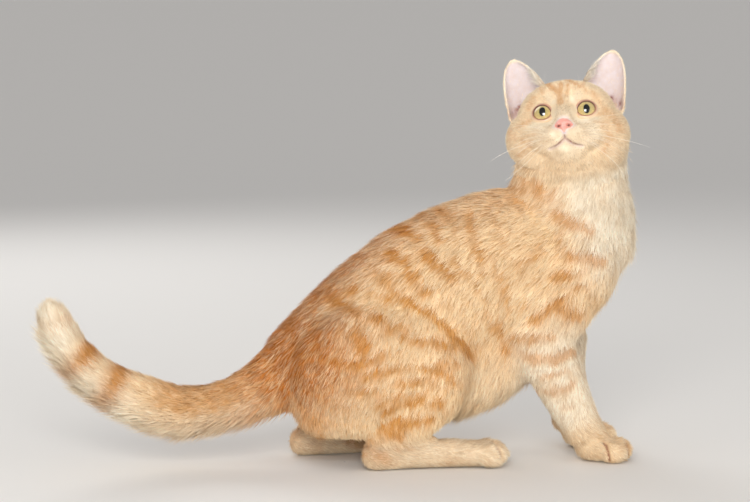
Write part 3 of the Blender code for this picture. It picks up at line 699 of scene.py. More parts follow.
# %% Strokes on the near flank, and rings
STROKES = [
    # flank
    (49, 215, 62, 209, 7, 0.8), (80, 219, 84, 207, 6, 0.7), (90, 232, 98, 216, 7, 0.6),
    (112, 227, 114, 204, 7, 0.6), (70, 195, 80, 186, 7, 0.9), (80, 186, 91, 176, 6, 0.9),
    (93, 191, 107, 175, 5, 0.7), (107, 175, 123, 154, 5, 0.7), (130, 186, 140, 165, 6, 0.6),
    (140, 165, 145, 144, 6, 0.6), (116, 198, 120, 175, 4, 0.6), (40, 194, 52, 185, 7, 0.7),
    (27, 179, 36, 169, 8, 0.7), (54, 174, 68, 162, 7, 0.7), (-1, 162, 8, 164, 6, 0.6),
    (20, 161, 34, 154, 6, 0.7), (123, 145, 133, 124, 6, 0.5), (135, 131, 147, 103, 7, 0.7),
    (66, 232, 74, 226, 6, 0.5), (133, 231, 138, 208, 6, 0.4), (12, 191, 21, 185, 6, 0.5),
    # haunch
    (40, 161, 58, 149, 6, 0.9), (58, 149, 78, 135, 6, 0.9), (78, 135, 92, 119, 6, 1),
    (92, 119, 107, 102, 5, 0.9), (-13, 155, 5, 145, 7, 0.7), (-1, 128, 8, 118, 9, 0.8),
    (26, 131, 44, 131, 6, 0.6), (14, 141, 31, 136, 5, 0.6), (44, 122, 72, 119, 5, 0.7),
    (72, 119, 90, 112, 5, 0.7), (-26, 106, -1, 101, 6, 0.7), (-1, 101, 26, 109, 6, 0.7),
    (26, 109, 40, 111, 6, 0.5), (76, 103, 90, 96, 5, 0.6), (10, 91, 44, 98, 6, 0.7),
    (44, 98, 76, 94, 5, 0.7), (76, 94, 91, 84, 5, 0.7), (32, 84, 67, 85, 5, 0.6), (67, 85, 85, 76, 5, 0.6),
    (5, 76, 35, 75, 6, 0.6), (20, 65, 40, 72, 6, 0.6), (40, 72, 65, 73, 5, 0.6), (65, 73, 82, 65, 5, 0.5),
    (28, 56, 44, 63, 6, 0.8), (44, 63, 62, 66, 6, 0.8), (62, 66, 80, 63, 5, 0.7), (38, 45, 59, 47, 7, 0.9),
    (59, 47, 74, 48, 6, 0.7), (25, 39, 42, 35, 6, 0.6),
    # foot
    (7, 16, 28, 11, 9, 0.6), (40, 20, 51, 21, 6, 0.4), (87, 2, 104, 6, 8, 0.35), (15, 28, 18, 19, 8, 0.5),
    # shoulder
    (192, 230, 206, 222, 7, 0.9), (206, 222, 222, 215, 6, 0.9), (168, 260, 187, 247, 8, 0.6),
    (149, 258, 165, 251, 8, 0.5), (154, 240, 177, 233, 7, 0.4), (203, 192, 216, 191, 5, 0.8),
    (216, 191, 230, 186, 5, 1), (187, 170, 201, 177, 7, 0.7), (201, 177, 216, 180, 6, 0.6),
    (206, 164, 216, 166, 7, 0.6), (153, 146, 162, 148, 6, 0.5), (164, 133, 178, 141, 6, 0.8),
    (178, 141, 194, 152, 6, 0.8), (188, 144, 208, 136, 6, 0.8), (173, 203, 192, 207, 6, 0.4),
    (159, 188, 173, 191, 6, 0.4),
    # foreleg
    (150, 118, 166, 118, 6, 0.7), (166, 118, 183, 121, 6, 0.7), (165, 102, 184, 100, 7, 1),
    (184, 100, 202, 103, 7, 1), (177, 83, 199, 87, 6, 0.7), (174, 66, 190, 68, 6, 0.6),
    (190, 68, 204, 72, 6, 0.6), (193, 52, 205, 55, 5, 0.4),
]


SPREAD = 1.9  # the marks are soft: they fade over twice their drawn width
FACE_STROKES = [  # across and up on the face as it looks ahead
    (-2.8, 18, -1.7, 7, 5, 0.8), (-1.8, 28, -1.8, 22, 4, 1.0), (-14.8, 33, -11.3, 26.9, 5, 0.8),
    (-11.3, 26.9, -4.8, 19.6, 5, 0.8), (3.6, 33.5, 9.4, 28.9, 5, 0.8), (9.4, 28.9, 15.4, 24.9, 5, 0.7),
    (5, 26, 4, 15, 4, 0.6), (-21, 31, -17.5, 22, 5, 0.5), (19, 31, 20, 20, 5, 0.5), (-28, 21, -33, 12, 6, 0.5),
    (27, 20, 33, 10, 6, 0.5), (-53.3, -3.8, -47.8, -17.3, 8, 0.45), (-39.6, -21.1, -27.3, -19.1, 6, 0.45),
    (-43.8, -30.4, -29.7, -25.3, 7, 0.45), (20.9, -13.6, 37.6, -12, 6, 0.5), (37.4, 3.5, 48.1, -16.8, 8, 0.55),
    (32, -13.7, 38.9, -23.9, 7, 0.5), (38.9, -23.9, 33.5, -36.1, 7, 0.5), (-31, -3, -44, -7, 6, 0.5),
    (31, -2, 44, -5, 6, 0.5), (0, 2, 0, -8, 6, 0.35),
]
FACE_STROKES += [  # dark spots where the whiskers stand
    (side * (10.5 + 3.2 * column + 0.8 * row), -21.5 - 2.7 * row - 0.6 * column,
     side * (11 + 3.2 * column + 0.8 * row), -21.5 - 2.7 * row - 0.6 * column, 0.8, 0.55)
    for side in (-1, 1) for row in range(4) for column in range(4)
]


def painted(places, strokes, spread=SPREAD):
    """How strongly each place is painted: 1 on a stroke's middle line, fading over its width."""
    rows = np.array(strokes, float)
    a, b = rows[:, 0:2] / 1000, rows[:, 2:4] / 1000
    d = b - a
    paint = np.zeros(len(places))
    for start, run, half, strength in zip(a, d, rows[:, 4] / 2000, rows[:, 5]):
        t = np.clip(((places - start) @ run) / (run @ run), 0, 1)
        gap = np.linalg.norm(places - (start + t[:, None] * run), axis=1)
        paint = np.maximum(paint, strength * np.exp(-((gap / (half * spread)) ** 2)))
    return paint


def stripes(places):
    """The strokes at any places near the skin, bent by a slow drift and broken up by a quick one."""
    wobble = np.stack([drift(places, 0.016, 3), drift(places, 0.016, 4)], 1) * 0.0022
    far = (places[:, 1:2] > SHIFT[1]) * 0.007
    wobble += far * np.stack([drift(places, 0.05, 5), drift(places, 0.05, 6)], 1)
    paint = painted(places[:, [0, 2]] + wobble, STROKES)
    paint = paint + 0.16 * drift(places, 0.004, 7) + 0.1 * drift(places, 0.011, 8)
    return ease(paint, 0.12, 0.9)


def face_marks(places):
    """The strokes of the face on its front, and lines that run back over the crown."""
    there = in_head(places)
    wobble = np.stack([drift(places, 0.007, 11), drift(places, 0.007, 12)], 1) * 0.0012
    ahead = ease(there[:, 0], -0.014, 0.004)
    lines = 0.55 * np.exp(-((np.sin((there[:, 1] + wobble[:, 0]) * 520) / 0.55) ** 2))
    lines = lines * ease(there[:, 2], 0.0, 0.03)
    paint = ahead * painted(there[:, 1:3] + wobble, FACE_STROKES, 1.45) + (1 - ahead) * lines
    return ease(paint + 0.16 * drift(places, 0.003, 13), 0.08, 0.85)


FACE_PALE = [  # round the eyes
    (-27, -9, -15, -8.5, 8, 0.9), (15, -8.5, 27, -9, 8, 0.9), (-10, 11, -14, 17, 6, 0.8), (10, 11, 14, 17, 6, 0.8),
    (-9, -2, -11, 4, 5, 0.6), (9, -2, 11, 4, 5, 0.6),
]
TAIL_RINGS = ((0.687, 0.036, 1.1), (0.815, 0.032, 1.1), (0.955, 0.020, 0.35))  # how far down, half width, strength


RUMP_AT, RUMP_SIZE = np.array([-0.046, 0, 0.104]), np.array([0.056, 0.2, 0.056])


def markings(places, at):
    """Orange marks, white areas and dark back, each 0 to 1. at gives the coat's other values there."""
    body = 1 - at["head"] - at["tail"] - at["ear"]
    ring = sum(s * np.exp(-(((at["down_tail"] - c) / h) ** 2)) for c, h, s in TAIL_RINGS)
    ring = ring * (0.55 + 0.45 * at["upper"])
    near_rump = (1 - ease(at["down_tail"], 0.50, 0.62)) * (0.25 + 0.75 * ease(at["upper"], 0.3, 0.9))
    streaks = 0.30 * drift(places, 0.009, 14) + 0.22 * drift(places, 0.02, 15)
    rump = np.exp(-((np.linalg.norm((places - SHIFT - RUMP_AT) / RUMP_SIZE, axis=1)) ** 2))
    mark = (stripes(places) + streaks + 0.06 + 0.5 * rump) * body + at["tail"] * (0.92 * ring + 0.6 * near_rump)
    mark = np.clip(mark + 0.8 * at["head"] * face_marks(places), 0, 1)
    pale_tail = 0.15 + 0.5 * ease(at["down_tail"], 0.5, 0.72) + 0.4 * ease(at["down_tail"], 0.86, 0.9)
    pale_tail = pale_tail + 0.9 * (0.6 - at["upper"])
    # The white bib is kept to the forward-facing near side of the throat and fades lower down: partly the cat's cream
    # chest, partly painted shade where the chest turns away from the lamps.
    chest = at["chest"] * (0.4 + 0.6 * ease(at["throat_facing_lamps"], 0.0, 0.7)) * ease(places[:, 2], 0.14, 0.2)
    white = at["tail"] * pale_tail + 0.95 * chest + 0.15 * at["belly"]
    white = white + 0.4 * at["forepaw"] + 0.6 * at["hindfoot"] + 0.88 * at["foreleg"]
    there = in_head(places)
    round_eyes = painted(there[:, 1:3], FACE_PALE, 1.3) * ease(there[:, 0], 0.0, 0.015)
    white = white + at["head"] * (0.45 + 0.5 * round_eyes) + 0.4 * at["bridge"] + at["muzzle"] * 0.36
    white = white + at["ear"] * (0.3 + 0.6 * at["ear_front"])
    spine = (at["torso"] + 0.4 * at["neck"]) * (1 - ease(at["off_back"], 0.008, 0.05))
    spine = spine * (0.2 + 0.5 * ease(at["down_back"], 0.3, 0.75))
    rust = np.maximum(1.15 * spine, rump * (1 - at["head"]))
    rust = rust + 0.2 * at["tail"] * np.clip(ring, 0, 1) + 0.8 * at["ear_corner_dark"]
    return mark, np.clip(white, 0, 1) * (1 - (0.6 + 0.35 * at["tail"]) * mark), np.clip(rust, 0, 1)


upper = ease((outward * Z).sum(1), -0.7, 0.5)
# 1 where the skin above the chest faces forwards and towards the near side, where the lamps stand
throat_facing_lamps = ease((outward * (0.80 * X - 0.50 * Y)).sum(1), -0.15, 0.55) * ease(points[:, 2], 0.13, 0.2)
ear_front = ease(face[:, 0] + 0.15 * (face[:, 2] - 0.035), -0.010, -0.001)
bridge_tone = np.exp(-((face[:, 1] / 0.0055) ** 2) - ((face[:, 2] + 0.003) / 0.0075) ** 2) * (face[:, 0] > 0.034)
coat = {
    **share, "crease_shade": crease_shade, "ear_corner_dark": ear_corner_dark, "bridge": bridge_tone, "ear_front": ear_front,
    "down_tail": down_tail, "down_back": down_back, "off_back": off_back, "upper": upper,
    "chest": np.clip(chest + 0.8 * share["neck"], 0, 1), "throat_facing_lamps": throat_facing_lamps, "belly": belly, "muzzle": muzzle,
}
mark, white, rust = markings(points, coat)

# %% [markdown]
# ## Colours of skin and coat
# One group of nodes turns the marks into colour, so that skin and coat always agree. It reads
# the three masks, how far along its tuft a point lies, and a tone that differs from tuft to tuft and also carries
# painted shade in creases and painted light on the ears' front edges.

# %% The tabby colours
def linear(*rgb):
    """A colour as the eye reads it on a screen, 0 to 255, turned into the amount of light."""
    c = np.array(rgb) / 255.0
    return tuple(np.where(c <= 0.04045, c / 12.92, ((c + 0.055) / 1.055) ** 2.4)) + (1.0,)


def node_maker(tree):
    """Gives a material's shader, put() to add a node with its inputs set or linked, stops() for a ramp, and the links."""
    nodes, links = tree.nodes, tree.links

    def put(kind, *values, out=0, **settings):
        node = nodes.new("ShaderNode" + kind)
        for key, value in settings.items():
            setattr(node, key, value)
        for socket, value in values:
            if hasattr(value, "is_linked"):
                links.new(value, node.inputs[socket])
            else:
                node.inputs[socket].default_value = value
        return node.outputs[out]

    def stops(factor, *colours):
        ramp = nodes.new("ShaderNodeValToRGB")
        ramp.color_ramp.elements.remove(ramp.color_ramp.elements[1])
        for i, (at, colour) in enumerate(colours):
            element = ramp.color_ramp.elements[0] if i == 0 else ramp.color_ramp.elements.new(at)
            element.position, element.color = at, linear(*colour)
        links.new(factor, ramp.inputs["Fac"])
        return ramp.outputs["Color"]

    return nodes.get("Principled BSDF"), put, stops, links


def tabby_group():
    """Base colour, marks, white and rust, each from root to tip of a tuft, then the tone, partly the tuft's own and
    partly painted shade and light.
    """
    group = bpy.data.node_groups.new("tabby_colours", "ShaderNodeTree")
    for name in ("Mark", "White", "Rust", "Along", "Tone"):
        group.interface.new_socket(name, in_out="INPUT", socket_type="NodeSocketFloat")
    group.interface.new_socket("Color", in_out="OUTPUT", socket_type="NodeSocketColor")
    put, stops, links = node_maker(group)[1:]
    given = group.nodes.new("NodeGroupInput").outputs
    colour = stops(given["Along"], (0.0, (230, 184, 130)), (0.4, (249, 214, 164)), (1.0, (255, 238, 204)))
    for mask, *colours in (
        ("Mark", (0.0, (196, 128, 58)), (0.4, (214, 151, 78)), (1.0, (228, 170, 98))),
        ("White", (0.0, (240, 220, 188)), (0.4, (252, 238, 213)), (1.0, (255, 248, 232))),
        ("Rust", (0.0, (218, 136, 54)), (0.5, (208, 122, 42)), (1.0, (124, 62, 18))),
    ):
        over = stops(given["Along"], *colours)
        colour = put("Mix", (0, given[mask]), (6, colour), (7, over), out=2, data_type="RGBA")
    brightness = put("Math", (0, given["Tone"]), (1, 0.155), (2, 1.0), operation="MULTIPLY_ADD")
    powers = [put("Math", (0, brightness), (1, power), operation="POWER") for power in (0.75, 1.0, 1.3)]
    tone = put("CombineColor", *enumerate(powers))
    colour = put("Mix", (0, 1.0), (6, colour), (7, tone), out=2, data_type="RGBA", blend_type="MULTIPLY")
    links.new(colour, group.nodes.new("NodeGroupOutput").inputs[0])
    return group


TABBY = tabby_group()


def reads(nodes, name):
    node = nodes.new("ShaderNodeAttribute")
    node.attribute_name = name
    return node.outputs["Fac"]


def coat_material(name, roughness, hide=False):
    """Tabby colours on a soft surface. The hide also has bare parts, dark lines (the mouth line, the ear corners, and
    painted shade between the toes), and a bump of fine hairs.
    """
    material = bpy.data.materials.new(name)
    material.use_nodes = True
    shader, put, stops, links = node_maker(material.node_tree)
    colours = material.node_tree.nodes.new("ShaderNodeGroup")
    colours.node_tree = TABBY
    for name in ("Mark", "White", "Rust", "Along", "Tone"):
        links.new(reads(material.node_tree.nodes, name.lower()), colours.inputs[name])
    colour = colours.outputs["Color"]
    if hide:
        place = put("TexCoord", out=3)
        flush = put("TexNoise", (0, place), ("Scale", 220.0), ("Detail", 4.0))
        pink = stops(flush, (0.25, (228, 212, 212)), (0.75, (236, 228, 236)))
        bare_part, line = (reads(material.node_tree.nodes, n) for n in ("pink", "lip"))
        colour = put("Mix", (0, bare_part), (6, colour), (7, pink), out=2, data_type="RGBA")
        # the lip attribute darkens the mouth line and the ear corners, and is painted shade along the lines between
        # the toes
        colour = put("Mix", (0, line), (6, colour), (7, linear(150, 84, 70)), out=2, data_type="RGBA")
        fine = put("TexNoise", (0, place), ("Scale", 1400.0), ("Detail", 3.0))
        links.new(put("Bump", ("Strength", 0.5), ("Distance", 0.0004), ("Height", fine)), shader.inputs["Normal"])
    links.new(colour, shader.inputs["Base Color"])
    shader.inputs["Roughness"].default_value = roughness
    shader.inputs["Specular IOR Level"].default_value = 0.1
    return material


FUR = coat_material("coat_hair", 0.6)
HIDE = coat_material("coat_skin", 0.8, hide=True)
skin.data.materials.clear()
skin.data.materials.append(HIDE)
pink = np.clip(0.85 * in_ear + 0.5 * (1 - ease(bare_nose, 1.1, 1.7)) + 0.6 * np.exp(-((lip / 0.0022) ** 2)), 0, 1)
# The dark lines of the hide: the mouth line, darker red-brown at the lower outer corner of each ear, and painted shade
# along the lines between the toes.
dark = 0.85 * np.exp(-((lip / 0.0008) ** 2)) * (1 - 0.6 * ease(abs(face[:, 1]), 0.008, 0.0146))
dark = dark + 0.9 * ear_corner_dark * (0.7 + drift(points, 0.003, 16)) + 0.9 * np.exp(-((cleft / 0.0010) ** 2))
# The hide's tone: a random drift, painted shade under the body's coat (the shade between the tufts) and in the creases
# of the feet, and the nose bridge's own darker tint.
tone = drift(points, 0.006, 9) - 0.9 * (1 - share["head"] - share["ear"]) - 0.9 * np.clip(crease_shade, 0, 1) - bridge_tone
for name, values in (
    ("mark", mark), ("white", white), ("rust", rust), ("along", 0.3 + 0 * mark),
    ("tone", tone), ("pink", pink), ("lip", np.clip(dark, 0, 1)),
):
    give(skin.data, name, values)

# %% [markdown]
# ## The coat
# A tuft is a thin leaf of a few faces: a root sunk in the skin, three corners part way along,
# and a tip; a short tuft is a spike of three corners in the skin and a tip. It leaves the skin, rises through the coat
# and bends over until it lies along it.
# The hairs of a coat cling together in locks. Tufts of one lock share a tone, and their tips
# come together, which gives the streaks that tell fur from felt.

# %% Sow the roots
def sown(chance, count, seed):
    """Roots spread over the triangles by area times chance: triangles, their corners, weights, and the dice."""
    dice = np.random.default_rng(seed)
    total = np.cumsum(areas * chance[triangles].mean(1))
    pick = np.searchsorted(total, (np.arange(count) + dice.random(count)) / count * total[-1])
    pick = np.minimum(pick, len(triangles) - 1)
    r, s = np.sqrt(dice.random(count)), dice.random(count)
    return pick, triangles[pick], np.stack([1 - r, r * (1 - s), r * s], 1), dice


def at_roots(values, tri, weights):
    """A property of the skin's points, blended to the roots."""
    values = values[tri]
    return (values * (weights if values.ndim == 2 else weights[..., None])).sum(1)


# %% Locks
def locks(places, size):
    """Each cell of a lattice holds a lock's middle at random. A place joins the nearest: its middle, and two dice."""
    table = np.random.default_rng(61).random((24, 24, 24, 5))
    cell = np.floor(places / size).astype(int)
    gap, joined = np.full(len(places), np.inf), np.zeros((len(places), 5))
    for step in np.ndindex(3, 3, 3):
        at = cell + step - 1
        row = table[tuple((at % 24).T)]
        middle = (at + row[:, :3]) * size
        away = ((middle - places) ** 2).sum(1)
        near = away < gap
        gap[near] = away[near]
        joined[near] = np.concatenate([middle, row[:, 3:]], 1)[near]
    return joined[:, :3], joined[:, 3:]


# %% A patch for every tuft on an unwrap of the skin
PATCH = 0.003  # width of a tuft's patch on the map


def unwrapped(pick):
    """Cuts the picked triangles out of the skin and unwraps them: the three corners of each on the map."""
    used = np.unique(pick)
    cut = mesh_object("cut", corners[used].reshape(-1, 3), np.arange(3 * len(used)).reshape(-1, 3))
    shape = bmesh.new()
    shape.from_mesh(cut.data)
    bmesh.ops.remove_doubles(shape, verts=shape.verts, dist=1e-6)
    shape.to_mesh(cut.data)
    shape.free()
    bpy.context.view_layer.objects.active = cut
    bpy.ops.object.mode_set(mode="EDIT")
    bpy.ops.mesh.select_all(action="SELECT")
    bpy.ops.uv.smart_project(angle_limit=math.radians(66), island_margin=0.001)
    bpy.ops.object.mode_set(mode="OBJECT")
    spots = numbers(cut.data.uv_layers[0].data, "uv", 2).reshape(-1, 3, 2)
    bpy.data.objects.remove(cut)
    return spots[np.searchsorted(used, pick)]


def patches(mesh, pick, weights, verts):
    """The map OFBake: each tuft is laid, as long as PATCH, at its root's place on the unwrap of the skin."""
    root = (unwrapped(pick) * weights[..., None]).sum(1)
    each = verts.shape[1]
    leaf, spike = [(0.5, 0), (0, 0.4), (1, 0.4), (0.5, 0.4), (0.5, 1)], [(0, 0), (1, 0), (0.5, 0), (0.5, 1)]
    shape = np.array(leaf if each == 5 else spike)
    spots = (root[:, None] + (shape - 0.5) * PATCH).reshape(-1, 2)
    layer = mesh.uv_layers.new(name="OFBake")
    layer.data.foreach_set("uv", spots[numbers(mesh.loops, "vertex_index", 1, np.int32)].astype(np.float32).ravel())


# %% Grow the tufts
LANCET = np.array([(0, 2, 1), (0, 3, 2), (0, 1, 3), (1, 2, 4), (2, 3, 4), (3, 1, 4)])
SPIKE = np.array([(0, 1, 3), (1, 2, 3), (2, 0, 3), (0, 2, 1)])
WIDEST = 0.38  # where along its length a lancet is widest
RIDGE = 0.16  # height of its ridge as a share of its width
GATHER = 0.7  # how far the tips of a lock come together


def tufts(name, chance, count, seed, bent, lock, stretch=1.0, thin=1.0, proud=0.0):
    """Joined tufts. A middle line is root + way L u + normal H (1.7 u - 0.7 u^2), u from 0 at the root to 1 at the tip."""
    pick, tri, weights, dice = sown(chance * (1 - bare), count, seed)
    root, normal = at_roots(points, tri, weights), unit(at_roots(outward, tri, weights))
    lie = laid_flat(at_roots(way, tri, weights), normal)
    long = at_roots(length, tri, weights) * dice.uniform(0.75, 1.2, count) * stretch
    wide = at_roots(width, tri, weights) * dice.uniform(0.75, 1.25, count) * thin
    high = at_roots(depth, tri, weights) * dice.uniform(0.55, 1.15, count)
    high = high + at_roots(lift, tri, weights) * dice.uniform(-0.3, 1.0, count)
    across = np.cross(normal, lie)
    sway = 0.26 * drift(root, 0.011, 21) + 0.16 * drift(root, 0.004, 22) + 0.12 * dice.normal(size=count)
    lie = unit(lie + across * sway[:, None])
    across = np.cross(normal, lie)
    high = high * (1 + 0.3 * drift(root, 0.006, 23)) + proud / 1000 * dice.uniform(0.2, 1.0, count)
    curl = (0.08 * dice.normal(size=count) * long)[:, None]
    middles, number = locks(root, lock / 1000)
    pull = middles - root
    pull = pull - normal * (pull * normal).sum(1, keepdims=True)

    def middle(u):
        rise = high * (1.7 * u - 0.7 * u * u) - 0.0006 * (u == 0)
        return root + lie * (long * u)[:, None] + normal * rise[:, None] + across * curl * u * u + pull * GATHER * u**1.5

    u = WIDEST if bent else 0.0
    half = (wide * 0.55)[:, None]
    ring = [middle(u) - across * half, middle(u) + across * half, middle(u) + normal * (wide * RIDGE)[:, None]]
    ends = [0.0, u, u, u, 1.0] if bent else [0.25, 0.25, 0.25, 1.0]
    verts = np.stack(([middle(0.0)] if bent else []) + ring + [middle(1.0)], 1)
    pattern, each = (LANCET, 5) if bent else (SPIKE, 4)
    faces = (pattern[None] + np.arange(count)[:, None, None] * each).reshape(-1, 3)
    verts[..., 2] = np.maximum(verts[..., 2], 0.0004)  # no tuft reaches into the floor
    obj = mesh_object(name, verts.reshape(-1, 3), faces, smooth=False)
    at = {label: at_roots(values, tri, weights) for label, values in coat.items()}
    tone = 0.35 * dice.normal(size=count) + (1.75 - 0.7 * at["head"]) * (number[:, 0] - 0.5)
    tone = tone + 0.4 * drift(root, 0.006, 24) + 0.4 * drift(root, 0.025, 25)
    # Painted shade: tufts in the creases of the feet and between the toes are darker. Painted light: tufts on the
    # ears' front edges are lighter against the shade they lie in.
    tone = tone - 0.9 * (at["forepaw"] + at["hindfoot"]) - 2.2 * at["crease_shade"] - 1.2 * at["bridge"] - 0.6 * at["muzzle"]
    tone = tone - 1.15 * at["head"] + 0.9 * at["ear"] * at["ear_front"]
    ahead = at_roots(length, tri, weights) * 0.5  # a tuft shows its colour half its length away from its root
    at["down_tail"] = at["down_tail"] + ahead / 0.293
    colours = markings(root + pull + lie * ahead[:, None], at)
    colours = colours[0] + 0.45 * (number[:, 1] - 0.5), colours[1], colours[2]
    ticked = colours[2] * dice.uniform(0.0, 1.7, count)
    for label, values in zip(("mark", "white", "rust"), (colours[0], colours[1], ticked)):
        give(obj.data, label, np.repeat(np.clip(values, 0, 1), each))
    give(obj.data, "along", np.tile(ends, count))
    give(obj.data, "tone", np.repeat(np.clip(tone, -3.2, 1.6), each))
    patches(obj.data, pick, weights, verts)
    obj.data.materials.append(FUR)
    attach(obj, "root")
    return obj


# %% Sow every region
THIN = 1.0
across_body = points[:, 1] - SHIFT[1]
right, left = ease(-across_body, -0.001, 0.001), ease(across_body, -0.001, 0.001)
long_coat = share["torso"] + share["hindleg"] + share["neck"] + share["tail"] + 0.6 * share["foreleg"]
fringe = 1.2 * belly + 0.2 * chest * share["torso"] + 0.4 * share["neck"]
brush = share["tail"] * (1 - ease(upper, 0.05, 0.4))
# chance, number, seed, leaf or spike, lock size, then stretch, width and how far the tips stand proud
covered = {
    "coat_head": (share["head"], 44000, 31, False, 1.9),
    "coat_ears": (share["ear"], 12000, 41, False, 1.6),
    "coat_neck": (share["neck"], 22000, 32, True, 3.2),
    "coat_flank_right": (share["torso"] * right, 28500, 33, True, 3.4),
    "coat_flank_left": (share["torso"] * left, 26500, 34, True, 3.4),
    "coat_haunch_right": (share["hindleg"] * right, 22000, 35, True, 3.2),
    "coat_haunch_left": (share["hindleg"] * left, 20000, 36, True, 3.2),
    "coat_forelegs": (share["foreleg"], 20000, 37, True, 2.3),
    "coat_feet": (share["forepaw"] + share["hindfoot"], 32000, 38, False, 1.8, 1.0, 1.3, 0.2),
    "coat_tail": (share["tail"], 26000, 39, True, 3.2),
    "coat_wisps": (long_coat, 13000, 42, True, 3.4, 1.1, 0.7, 1.3),
    "coat_fringe": (fringe, 6000, 43, True, 3.6, 1.15, 0.8, 5.5),
    "coat_tail_fringe": (brush, 5000, 44, True, 4.0, 1.35, 0.9, 9.0),
}
for name, (chance, count, seed, leaf, *form) in covered.items():
    tufts(name, chance, int(count * THIN), seed, leaf, *form)
print("coat pieces:", len(covered), "tufts:", sum(row[1] for row in covered.values()))

# %% Thin the skin once more, away from the face and the ears
SKIN_TRIANGLES = 190000
plain = 1 - share["ear"] - share["head"] * ease(face[:, 0], 0.0, 0.01)
group = skin.vertex_groups.new(name="under_fur")
group.add(np.flatnonzero(plain > 0.5).tolist(), 1.0, "REPLACE")
thin = skin.modifiers.new("thin", "DECIMATE")
thin.ratio, thin.vertex_group = min(SKIN_TRIANGLES / len(triangles), 1.0), "under_fur"
print("skin triangles before:", len(triangles), "and after:", min(SKIN_TRIANGLES, len(triangles)))

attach(skin, "root")
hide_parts(*(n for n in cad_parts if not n.startswith(("eye", "nose"))))

# %% [markdown]
# ## Eyes
# A cat's eye is a ball of 2 cm with a clear bulge in front, and most of what shows is the iris.
# One grid of rings round the line of sight gives the ball: each ring is a step further from the
# middle of the pupil, and the material reads that step. A coat on the material gives the wet
# shine, because clear glass over the iris would need light bent through it.

# %% A grid of rings, closed at both ends
def ring_piece(name, grid, values, material, slot, *nodes):
    """A closed piece from rings of points (rings, columns, 3), with one number per point for each name."""
    rings, columns = grid.shape[:2]
    piece = mesh_object(name, from_head(grid.reshape(-1, 3)), ring_faces(rings, columns))
    close_ends(piece.data)
    for label, numbers_there in values.items():
        give(piece.data, label, np.broadcast_to(numbers_there, (rings, columns)).ravel())
    piece.data.materials.append(material)
    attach(piece, "root")
    if nodes:
        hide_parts(*nodes)
    return piece


# %% The look of the eye
PUPIL_WIDE, PUPIL_TALL = 0.26, 0.40  # half angles of the upright oval


def eye_material():
    """Iris fibres run out from the pupil, from green through gold to a dark outer ring."""
    material = bpy.data.materials.new("wet_eye")
    material.use_nodes = True
    shader, put, stops, links = node_maker(material.node_tree)
    ring, across, up = (reads(material.node_tree.nodes, n) for n in ("ring", "across", "up"))
    spoke = put("VectorMath", (0, put("CombineXYZ", (0, across), (1, up))), operation="NORMALIZE")
    spoke = put("VectorMath", (0, spoke), (1, (6.0, 6.0, 6.0)), operation="MULTIPLY")
    lift = put("CombineXYZ", (2, put("Math", (0, ring), (1, 3.0), operation="MULTIPLY")))
    fibre = put("TexNoise", (0, put("VectorMath", (0, spoke), (1, lift))), ("Scale", 2.2), ("Detail", 5.0))
    at = put("Math", (0, ring), (1, put("Math", (0, fibre), (1, 0.14), operation="MULTIPLY")))
    iris = stops(
        at, (0.26, (196, 182, 112)), (0.45, (218, 199, 132)), (0.75, (230, 203, 140)),
        (0.93, (190, 150, 88)), (0.99, (70, 48, 32)),
    )
    dim = stops(fibre, (0.35, (150, 136, 110)), (0.62, (255, 255, 255)))
    iris = put("Mix", (0, 0.55), (6, iris), (7, dim), out=2, data_type="RGBA", blend_type="MULTIPLY")
    oval = put(
        "CombineXYZ",
        (0, put("Math", (0, across), (1, 1 / PUPIL_WIDE), operation="MULTIPLY")),
        (1, put("Math", (0, up), (1, 1 / PUPIL_TALL), operation="MULTIPLY")),
    )
    edge = put("VectorMath", (0, oval), out=1, operation="LENGTH")
    open_part = put("MapRange", (0, edge), (1, 0.93), (2, 1.06))
    colour = put("Mix", (0, open_part), (6, (0.002, 0.002, 0.002, 1)), (7, iris), out=2, data_type="RGBA")
    links.new(colour, shader.inputs["Base Color"])
    links.new(put("MapRange", (0, fibre), (3, 0.2), (4, 0.4)), shader.inputs["Roughness"])
    shader.inputs["Specular IOR Level"].default_value = 0.08
    shader.inputs["Coat Weight"].default_value = 1.0
    shader.inputs["Coat Roughness"].default_value = 0.02
    return material


# %% Both eyeballs
SIGHT = {"left": (10.8, -1.0), "right": (5.0, -7.0)}  # degrees outwards and down
EYE_GLOSS = eye_material()
a = np.concatenate([np.linspace(0.004, 1.2, 40), np.linspace(1.3, math.pi - 0.01, 8)])[:, None]
b = np.linspace(0, 2 * math.pi, 72, endpoint=False)[None]
for name, side in EYE_SIDES.items():
    # a point is (cos a, sin a cos b, sin a sin b) times R, and R is raised in front by 0.055 exp(-(a / 0.6)^2)
    reach = EYE_RADIUS * (1 + 0.055 * np.exp(-((a / 0.6) ** 2)))
    ball = np.stack([np.cos(a) * reach + 0 * b, np.sin(a) * np.cos(b) * reach, np.sin(a) * np.sin(b) * reach], -1)
    ball = ball @ turned(*SIGHT[name], side).T + EYE_AT[name] - [0.0004, 0, 0]
    values = {"ring": a, "across": np.sin(a) * np.cos(b), "up": np.sin(a) * np.sin(b)}
    ring_piece("eyeball_" + name, ball, values, EYE_GLOSS, "eye", "eye_" + name)

# %% [markdown]
# ## Lids
# A lid is a soft roll on the eyeball: a dark wet edge, a pinkish roll behind it, and above the
# eye one fold more. It is a profile carried round the almond of the opening, and its outer
# rings run out onto the skin, so that no seam shows.

# %% The lids as a profile round the opening
# share of the opening by angle, and height over the eyeball in millimetres
LID_PROFILE = np.array([
    (0.90, -0.6), (0.95, 0.1), (0.985, 0.6), (1.02, 0.95), (1.06, 1.2), (1.11, 1.4), (1.17, 1.45),
    (1.21, 1.2), (1.24, 1.0), (1.27, 1.2), (1.31, 1.4), (1.35, 1.4), (1.39, 1.2), (1.44, 0.9), (1.50, 0.4),
])


def skin_from_eye(name, directions):
    """How far the skin lies from the eye's middle in each direction: a soft mean over a few degrees."""
    towards, far = BEFORE[name]
    near = np.exp(-np.maximum(1 - directions @ towards.T, 0) / 0.0012) + 1e-12
    return near @ far / near.sum(1)


